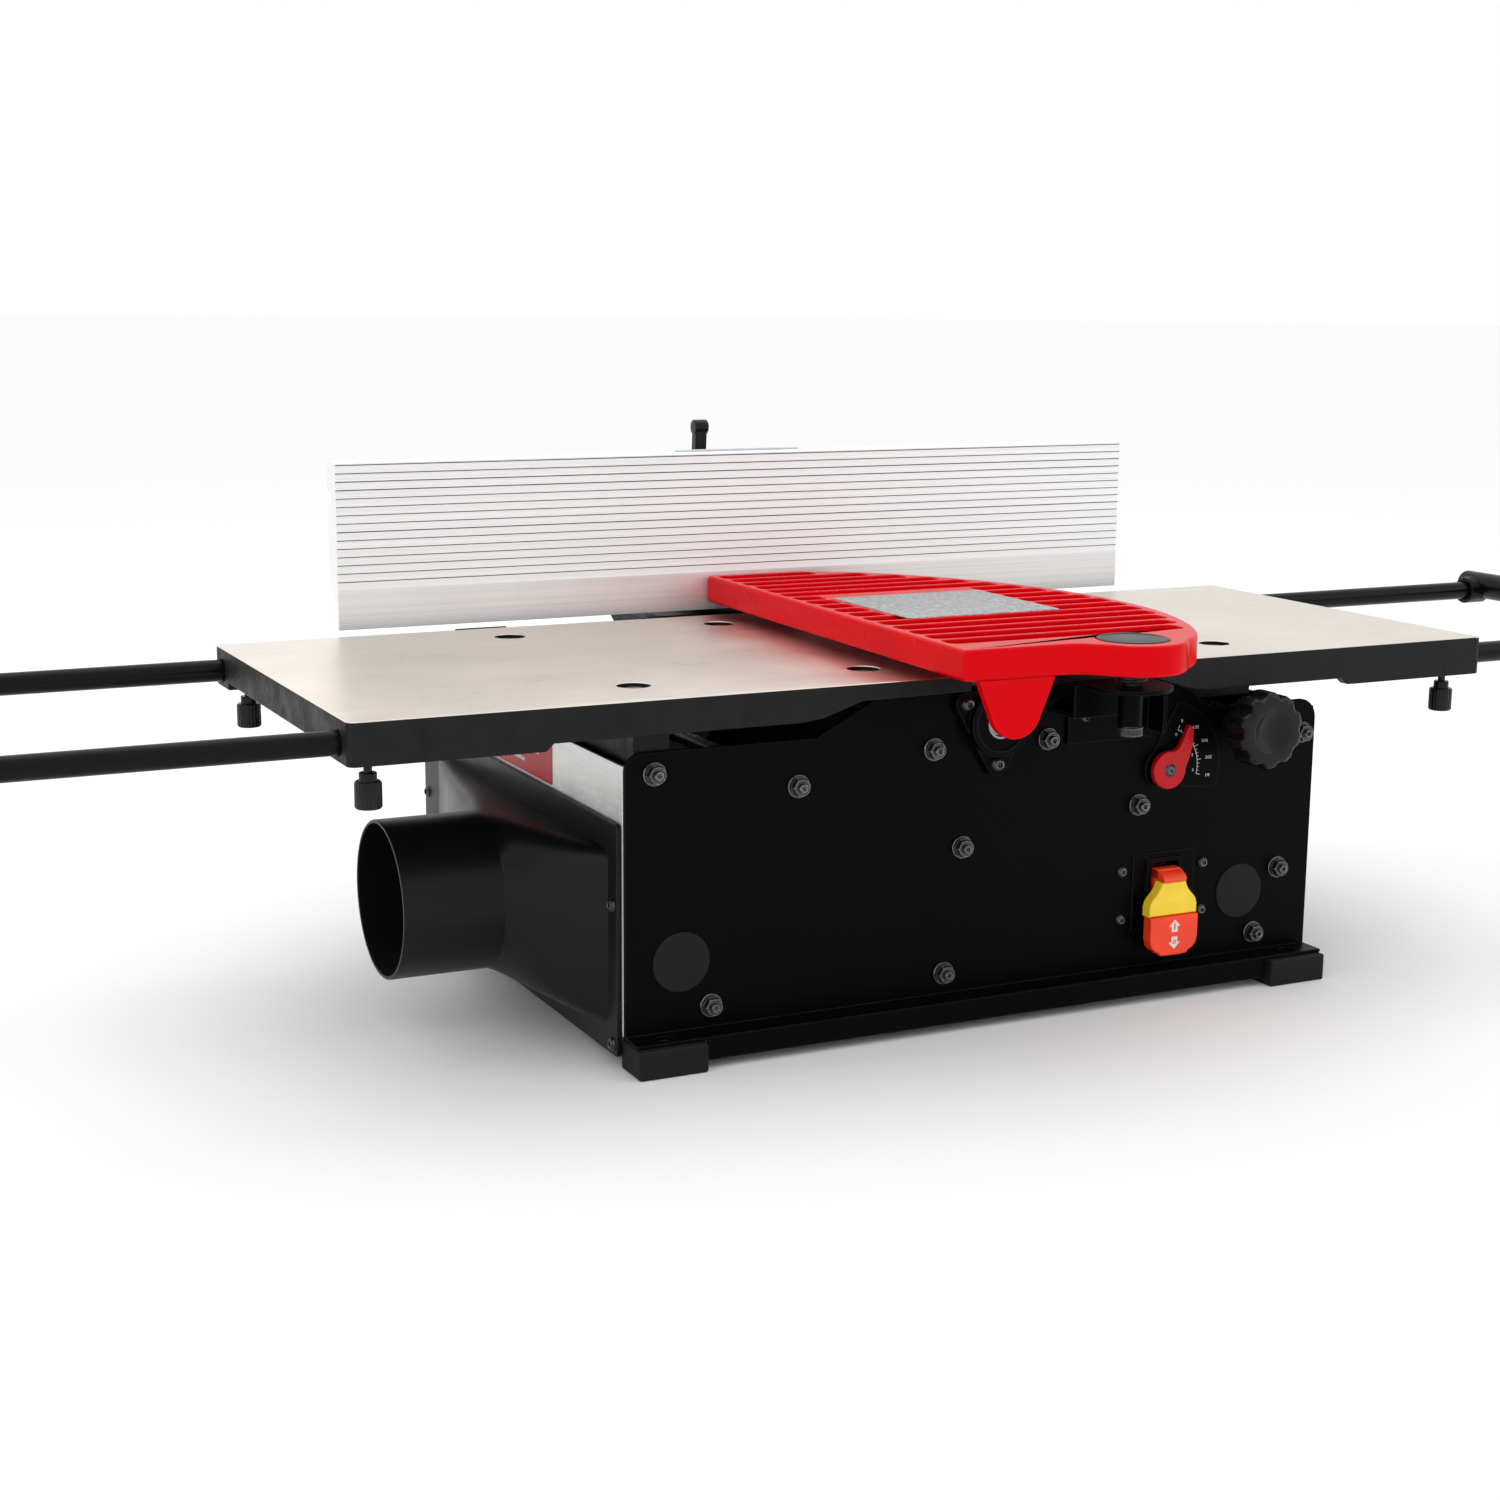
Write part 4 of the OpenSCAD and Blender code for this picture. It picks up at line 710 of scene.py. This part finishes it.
for node in ("outfeed_screws", "infeed_screws"):
    bm = bmesh.new()
    for low, high in islands(node):
        middle = (low + high) / 2
        head = (high.x - low.x) / 2
        neck = high.z - 5 * mm - low.z
        recess = sixSided(3.05 * mm)
        turned(bm, [(0, 0), (3.6 * mm, 0), (3.95 * mm, 0.5 * mm), (3.95 * mm, neck), (head - 0.3 * mm, neck),
                    (head, neck + 0.4 * mm), (head, neck + 4.2 * mm), (head - 0.5 * mm, neck + 5 * mm),
                    (3.7 * mm, neck + 5 * mm), (3.5 * mm, neck + 4.7 * mm), (3.5 * mm, neck + 1.8 * mm),
                    (0, neck + 1.2 * mm)],
               (middle.x, middle.y, low.z), "up", 36,
               lambda radius, height, angle: recess(radius, height, angle)
               if height > neck + 1 * mm and radius < 3.6 * mm else radius)
    standFor(node, bm, "blackSteel")
print("fasteners made")

# Bearings with shields
bm = bmesh.new()
for low, high in islands("ball_bearings"):
    middle = (low + high) / 2
    outer = (high.x - low.x) / 2
    bore = 8.6 * mm if outer > 15 * mm else 6.05 * mm
    deep = high.y - low.y
    ring = (outer - bore) * 0.13
    turned(bm, [(bore, 0.3 * mm), (bore + 0.3 * mm, 0), (bore + ring, 0), (bore + ring, deep),
                (bore + 0.3 * mm, deep), (bore, deep - 0.3 * mm), (bore, 0.3 * mm)],
           (middle.x, high.y, middle.z), "front", 64)
    turned(bm, [(outer - ring, 0), (outer - 0.5 * mm, 0), (outer, 0.5 * mm), (outer, deep - 0.5 * mm),
                (outer - 0.5 * mm, deep), (outer - ring, deep), (outer - ring, 0)],
           (middle.x, high.y, middle.z), "front", 64)
    turned(bm, [(bore + ring, 0.6 * mm), (outer - ring, 0.6 * mm), (outer - ring, deep - 0.6 * mm),
                (bore + ring, deep - 0.6 * mm), (bore + ring, 0.6 * mm)],
           (middle.x, high.y, middle.z), "front", 64, paint=1)
standFor("ball_bearings", bm, ["headSteel", "panelPaint"])

# Plugs over the panel's access holes
bm = bmesh.new()
for low, high in islands("panel_plugs"):
    middle = (low + high) / 2
    rim = (high.x - low.x) / 2
    deep = high.y - low.y
    turned(bm, [(0, 0), (14.8 * mm, 0), (14.8 * mm, deep - 1.4 * mm), (rim, deep - 1.4 * mm), (rim, deep - 0.8 * mm),
                (rim - 0.5 * mm, deep - 0.3 * mm), (rim - 2 * mm, deep - 0.05 * mm), (rim * 0.5, deep), (0, deep)],
           (middle.x, high.y, middle.z), "front", 72)
standFor("panel_plugs", bm, "plugGrey")

# Thumb knobs that clamp the extension bars
thumb = {"flutes": 24, "depth": 0.35 * mm}


def makeThumbKnob(node):
    low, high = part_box(node)
    middle = (low + high) / 2
    grip = (high.x - low.x) / 2

    def fluted(radius, height, angle):
        if radius < grip - 1.2 * mm or height > 15.2 * mm or height < 0.6 * mm:
            return radius
        return radius - thumb["depth"] * (0.5 - 0.5 * math.cos(angle * thumb["flutes"]))
    top = high.z - low.z
    bm = bmesh.new()
    turned(bm, [(0, 0.4 * mm), (grip * 0.55, 0.4 * mm), (grip * 0.6, 0), (grip - 0.9 * mm, 0), (grip, 0.9 * mm),
                (grip, 15 * mm), (grip - 0.9 * mm, 16 * mm), (5.6 * mm, 16 * mm), (5.2 * mm, 16.5 * mm),
                (5.2 * mm, 20.6 * mm), (4.8 * mm, 21 * mm), (2.5 * mm, 21 * mm), (2.5 * mm, top - 0.4 * mm),
                (2.1 * mm, top), (0, top)], (middle.x, middle.y, low.z), "up", 96, fluted)
    standFor(node, bm, "knobPlastic", smooth=40)


for node in ("outfeed_front_clamp", "outfeed_rear_clamp", "infeed_front_clamp", "infeed_rear_clamp"):
    makeThumbKnob(node)

# Depth knob with ten finger hollows and a dished middle
knobLook = {"hollows": 10, "hollowAt": 30.2 * mm, "hollowRadius": 6.9 * mm, "dish": 13.5 * mm}
knobLow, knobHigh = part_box("depth_knob")
knobRadius = (knobHigh.x - knobLow.x) / 2
knobMiddle = (knobLow + knobHigh) / 2
knobDeep = 20 * mm


def scalloped(radius, height, angle):
    if radius < knobLook["dish"] + 1 * mm:
        return radius
    turn = 2 * math.pi / knobLook["hollows"]
    off = (angle + turn / 2) % turn - turn / 2
    across = knobLook["hollowAt"] * math.sin(off)
    if abs(across) >= knobLook["hollowRadius"]:
        return radius
    reach = knobLook["hollowAt"] * math.cos(off) - math.sqrt(knobLook["hollowRadius"] ** 2 - across ** 2)
    softened = reach + 0.5 * mm * (abs(across) / knobLook["hollowRadius"]) ** 6
    inset = knobRadius - radius
    return min(radius, softened - inset * 0.6)


bm = bmesh.new()
hubBack = knobHigh.y - (knobLow.y + knobDeep)
knobFront = hubBack + knobDeep
knobProfile = [(0, 0), (8.8 * mm, 0), (8.8 * mm, hubBack), (knobRadius - 2 * mm, hubBack),
               (knobRadius - 0.6 * mm, hubBack + 0.6 * mm), (knobRadius, hubBack + 2 * mm)]
for inward, down in ((0, 4.2), (0.5, 2.6), (1.6, 1.1), (3.4, 0.25), (5.5, 0)):  # rim
    knobProfile.append((knobRadius - inward * mm, knobFront - down * mm))
for outward, down in ((2.6, 0), (1.3, 0.2), (0.4, 0.9), (-2, 2.2), (-5, 3.6), (-8.5, 4.4)):  # dish
    knobProfile.append((knobLook["dish"] + outward * mm, knobFront - down * mm))
knobProfile.append((0, knobFront - 4.8 * mm))
turned(bm, knobProfile, (knobMiddle.x, knobHigh.y, knobMiddle.z), "front", 160, scalloped)
standFor("depth_knob", bm, "knobPlastic", smooth=42)
print("knobs made")

# Dial with its printed scale, and the pointer
dialLook = {"start": 67.7, "sweep": 80, "arc": 27.5, "line": 0.35, "print": 0.06}
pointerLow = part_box("depth_pointer")[0]
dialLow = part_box("dial_plate")[0]
hubRadius = 13 * mm
pivotX = pointerLow.x + hubRadius
pivotZ = pointerLow.z + hubRadius
bm = mergedCopy("dial_plate")
roundEdges(bm, 0.3 * mm, 2)
standFor("dial_plate", bm, "panelPaint")


def writeNumber(bm, text, size, x, z, y):
    curve = bpy.data.curves.new("number", "FONT")
    curve.body = text
    curve.size = size * mm
    curve.extrude = dialLook["print"] * mm / 2
    curve.align_x = "CENTER"
    curve.align_y = "CENTER"
    holder = bpy.data.objects.new("number", curve)
    bpy.context.collection.objects.link(holder)
    shape = bpy.data.meshes.new_from_object(holder.evaluated_get(bpy.context.evaluated_depsgraph_get()))
    shape.transform(Matrix.Translation((x, y, z)) @ facing["front"])
    bm.from_mesh(shape)
    bpy.data.objects.remove(holder)
    bpy.data.curves.remove(curve)
    bpy.data.meshes.remove(shape)


def makeScale():
    bm = bmesh.new()
    y = dialLow.y
    start, sweep = dialLook["start"], dialLook["sweep"]
    inner, outer = dialLook["arc"] - dialLook["line"] / 2, dialLook["arc"] + dialLook["line"] / 2
    band = arc(0, 0, outer * mm, start, start - sweep, 28) + arc(0, 0, inner * mm, start - sweep, start, 28)
    prism(bm, band, dialLook["print"] * mm, (pivotX, y, pivotZ), "front")
    for i in range(17):
        angle = start - sweep * i / 16
        reach = 3.4 if i % 4 == 0 else 1.7
        tick = [(dialLook["arc"], -0.16), (dialLook["arc"] + reach, -0.16), (dialLook["arc"] + reach, 0.16),
                (dialLook["arc"], 0.16)]
        turn = math.radians(angle)
        points = [((r * math.cos(turn) - t * math.sin(turn)) * mm, (r * math.sin(turn) + t * math.cos(turn)) * mm)
                  for r, t in tick]
        prism(bm, points, dialLook["print"] * mm, (pivotX, y, pivotZ), "front")
    for i, text in enumerate(("0", "1/32", "1/16", "3/32", "1/8")):
        angle = math.radians(start - sweep * i / 4)
        reach = (35.5 if i else 34.0) * mm
        writeNumber(bm, text, 3.0, pivotX + (reach + 1.5 * mm) * math.cos(angle), pivotZ + reach * math.sin(angle), y)
    for i in range(4):
        angle = math.radians(start - sweep * i / 3 * 0.94)
        writeNumber(bm, str(i), 3.0, pivotX + 24.2 * mm * math.cos(angle), pivotZ + 24.2 * mm * math.sin(angle), y)
    addPiece("dial_scale", bm, "printWhite", bodyOf["dial_plate"], smooth=20)


makeScale()
bm = mergedCopy("depth_pointer")
roundEdges(bm, 1.3 * mm, 4)
standFor("depth_pointer", bm, "pointerRed")
bm = bmesh.new()
buttonScrew(bm, (pivotX, pointerLow.y + 0.2 * mm, pivotZ), "front", 4.4 * mm, 1.6 * mm, 0.46)
addPiece("pointer_screw", bm, "blackSteel", bodyOf["depth_pointer"])
print("dial made")

# Switch: red paddle, yellow pull-out key and their printed arrows
paddleLow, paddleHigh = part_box("switch_paddle")
keyLow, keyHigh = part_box("safety_key")
paddleX = (paddleLow.x + paddleHigh.x) / 2
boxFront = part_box("switch_box")[0].y + 3 * mm
neckWidth = 18.2 * mm


def cutBack(node, y):
    # what lies behind that plane of a CAD piece, closed again
    bm = mergedCopy(node)
    bmesh.ops.bisect_plane(bm, geom=list(bm.verts) + list(bm.edges) + list(bm.faces), dist=0.001 * mm,
                           plane_co=(0, y, 0), plane_no=(0, -1, 0), clear_outer=True)
    bmesh.ops.holes_fill(bm, edges=[edge for edge in bm.edges if edge.is_boundary], sides=0)
    roundEdges(bm, 0.4 * mm, 2)
    return bm


def makeSwitch():
    half = (paddleHigh.x - paddleLow.x) / 2 / mm
    face = paddleLow.y
    thick = 8.5
    tall = (keyLow.z - paddleLow.z) / mm - 0.3
    bm = cutBack("switch_paddle", face + (thick + 0.01) * mm)
    side = [(half, tall), (half, 11.5), (half - 1, 7.4), (half - 3.6, 4.2), (half - 7.2, 2.4), (half - 7.8, 1.1),
            (half - 9.6, 0.4), (half - 14, 0)]
    outline = [(-x, z) for x, z in side] + side[::-1]
    prism(bm, [(x * mm, z * mm) for x, z in outline[::-1]], thick * mm,
          (paddleX, face + thick * mm, paddleLow.z), "front", 1.3 * mm, 4)
    neck = [(-4, 81.8), (15.3, 81.8), (15.3, 83.2), (13.6, 85.7), (10.2, 87.7), (6, 88.7), (1.5, 89), (-4, 89)]
    prism(bm, [(-boxFront + y * mm, z * mm) for y, z in neck], neckWidth, (paddleX + neckWidth / 2, 0, 0), "left",
          0.5 * mm, 2)
    for x in (-1, 1):
        cheek = [(5.6, 57), (5.6, 82.5), (-6, 82.5), (-6, 57)]
        prism(bm, [(-boxFront + y * mm, z * mm) for y, z in cheek[::-1]], 1.6 * mm,
              (paddleX + x * (neckWidth / 2 - 0.85 * mm) + 0.8 * mm, 0, 0), "left")
    standFor("switch_paddle", bm, "paddleRed")

    keyFace = keyLow.y
    bm = cutBack("safety_key", keyFace + (thick + 0.01) * mm)
    high = (keyHigh.z - keyLow.z) / mm
    side = [(half, 0), (half, 6.5), (half - 0.7, 9.5), (half - 2.5, 12.2), (half - 5.3, 15), (half - 7.7, 18),
            (half - 9.1, 21), (half - 9.7, high)]
    outline = side + [(-x, z) for x, z in reversed(side)]
    prism(bm, [(x * mm, z * mm) for x, z in outline], thick * mm, (paddleX, keyFace + thick * mm, keyLow.z), "front",
          1.5 * mm, 5)
    for level in (9.4, 11.2):
        ridge = roundedBox(-10, level, 10, level + 0.7, 0.3, 2)
        prism(bm, [(x * mm, z * mm) for x, z in ridge], 0.2 * mm, (paddleX, keyFace + 0.15 * mm, keyLow.z), "front",
              0.1 * mm, 1)
    standFor("safety_key", bm, "keyYellow")

    bm = bmesh.new()
    arrow = [(0, 8.6), (-4.6, 3.9), (-2.4, 3.9), (-2.4, 0), (2.4, 0), (2.4, 3.9), (4.6, 3.9)]
    bar = roundedBox(-0.55, 1.3, 0.55, 6.0, 0.2, 2)
    for base, sign in ((16.5, 1), (13.2, -1)):
        points = [(x * mm, sign * z * mm) for x, z in (arrow if sign > 0 else list(reversed(arrow)))]
        prism(bm, points, 0.15 * mm, (paddleX, face + 0.02 * mm, paddleLow.z + base * mm), "front", paint=0)
    points = [(x * mm, z * mm) for x, z in bar]
    prism(bm, points, 0.2 * mm, (paddleX, face + 0.02 * mm, paddleLow.z + 16.5 * mm), "front", paint=1)
    ring = bmesh.new()
    turned(ring, [(0.75 * mm, 0), (1.55 * mm, 0), (1.55 * mm, 0.2 * mm), (0.75 * mm, 0.2 * mm), (0.75 * mm, 0)],
           (paddleX, face + 0.02 * mm, paddleLow.z + 9.6 * mm), "front", 24, paint=1)
    join(bm, ring)
    addPiece("paddle_marks", bm, ["printWhite", "paddleRed"], bodyOf["switch_paddle"],
             smooth=20)


makeSwitch()
print("switch made")

# Dust chute: flange, smooth hopper and round port in one moulding
chute = {"wall": 2.5, "rings": 10, "points": 120, "boxiness": 22.0, "tube": 66}
chuteLow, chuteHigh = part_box("dust_chute")
portMount = next(mount for mount in record["mounts"] if mount["name"] == "dust_port")
portY, portZ = portMount["pos_m"][1], portMount["pos_m"][2]
portRadius = portMount["dims"]["r_mm"] * mm


def makeChute():
    bm = bmesh.new()
    flangeX = chuteHigh.x - 3 * mm
    portX = chuteLow.x + chute["tube"] * mm
    hopperY = (-172 * mm, 155 * mm)
    hopperZ = (23.5 * mm, 137.5 * mm)
    wall = chute["wall"] * mm

    def ringPoint(i, t, inset):
        # from a boxy ring at the flange to the round port, with soft ends
        angle = 2 * math.pi * i / chute["points"]
        power = 2 + (chute["boxiness"] - 2) * (1 - t) ** 1.6
        halfY = (hopperY[1] - hopperY[0]) / 2 * (1 - t) + portRadius * t - inset
        halfZ = (hopperZ[1] - hopperZ[0]) / 2 * (1 - t) + portRadius * t - inset
        midY = (hopperY[0] + hopperY[1]) / 2 * (1 - t) + portY * t
        midZ = (hopperZ[0] + hopperZ[1]) / 2 * (1 - t) + portZ * t
        c, s = math.cos(angle), math.sin(angle)
        scale = (abs(c) ** power + abs(s) ** power) ** (-1 / power)
        return midY + halfY * scale * c, midZ + halfZ * scale * s

    stations = []
    for k in range(chute["rings"] + 1):
        along = k / chute["rings"]
        soft = along * along * (3 - 2 * along)
        stations.append((flangeX + (portX - flangeX) * along, 0.85 * along + 0.15 * soft, 0))
    for x in (portX - 2 * mm, chuteLow.x + 0.8 * mm):
        stations.append((x, 1, 0))
    stations.append((chuteLow.x, 1, 0.7 * mm))
    stations.append((chuteLow.x, 1, wall - 0.5 * mm))
    stations.append((chuteLow.x + 0.6 * mm, 1, wall))
    for x, t, inset in reversed(stations[:chute["rings"] + 1]):
        stations.append((x, t, wall))
    first = bmesh.ops.create_circle(bm, segments=chute["points"], radius=1)["verts"]
    current = first
    for number, (x, t, inset) in enumerate(stations):
        if number:
            edges = [edge for edge in bm.edges if edge.verts[0] in current and edge.verts[1] in current]
            made = bmesh.ops.extrude_edge_only(bm, edges=edges)["geom"]
            fresh = {vert for vert in made if isinstance(vert, bmesh.types.BMVert)}
            pairs = {vert: next(e.other_vert(vert) for e in vert.link_edges if e.other_vert(vert) not in fresh)
                     for vert in fresh}
            order = {vert: index for index, vert in enumerate(current)}
            current = sorted(fresh, key=lambda vert: order[pairs[vert]])
        for i, vert in enumerate(current):
            y, z = ringPoint(i, t, inset)
            vert.co = (x, y, z)
    ends = [edge for edge in bm.edges if edge.is_boundary]
    bmesh.ops.bridge_loops(bm, edges=ends)
    bmesh.ops.recalc_face_normals(bm, faces=bm.faces)

    plate = bmesh.new()
    outer = roundedBox(chuteLow.y, chuteLow.z, chuteHigh.y, chuteHigh.z, 3 * mm, 6)
    inner = roundedBox(hopperY[0] + 3 * mm, hopperZ[0] + 3 * mm, hopperY[1] - 3 * mm, hopperZ[1] - 3 * mm, 8 * mm, 6)
    loops = []
    for points in (outer, inner):
        verts = [plate.verts.new((flangeX - 0.5 * mm, y, z)) for y, z in points]
        loops += [plate.edges.new((verts[i - 1], verts[i])) for i in range(len(verts))]
    bmesh.ops.bridge_loops(plate, edges=loops)
    raised = bmesh.ops.extrude_face_region(plate, geom=list(plate.faces))["geom"]
    bmesh.ops.translate(plate, vec=(chuteHigh.x - flangeX + 0.5 * mm, 0, 0),
                        verts=[v for v in raised if isinstance(v, bmesh.types.BMVert)])
    bmesh.ops.recalc_face_normals(plate, faces=plate.faces)
    roundEdges(plate, 0.6 * mm, 2)
    join(bm, plate)
    standFor("dust_chute", bm, "dustPlastic", smooth=44)


makeChute()
print("dust chute made")

# Red label on the end plate, with plain white bars
endLabel = {"y": (-70, 64), "z": (156, 187), "thick": 0.3, "bars": ((-58, 46, 172, 176), (-58, 20, 163, 165.5))}
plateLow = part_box("left_end_plate")[0]
bm = bmesh.new()
box = roundedBox(-endLabel["y"][1], endLabel["z"][0], -endLabel["y"][0], endLabel["z"][1], 2)
prism(bm, [(y * mm, z * mm) for y, z in box], endLabel["thick"] * mm, (plateLow.x, 0, 0), "left", 0.1 * mm, 1)
for left, right, low, high in endLabel["bars"]:
    bar = roundedBox(left, low, right, high, 0.6, 3)
    prism(bm, [(y * mm, z * mm) for y, z in bar], 0.06 * mm, (plateLow.x - endLabel["thick"] * mm, 0, 0), "left",
          paint=1)
addPiece("end_label", bm, ["labelRed", "printWhite"], bodyOf["left_end_plate"])
print("label made")
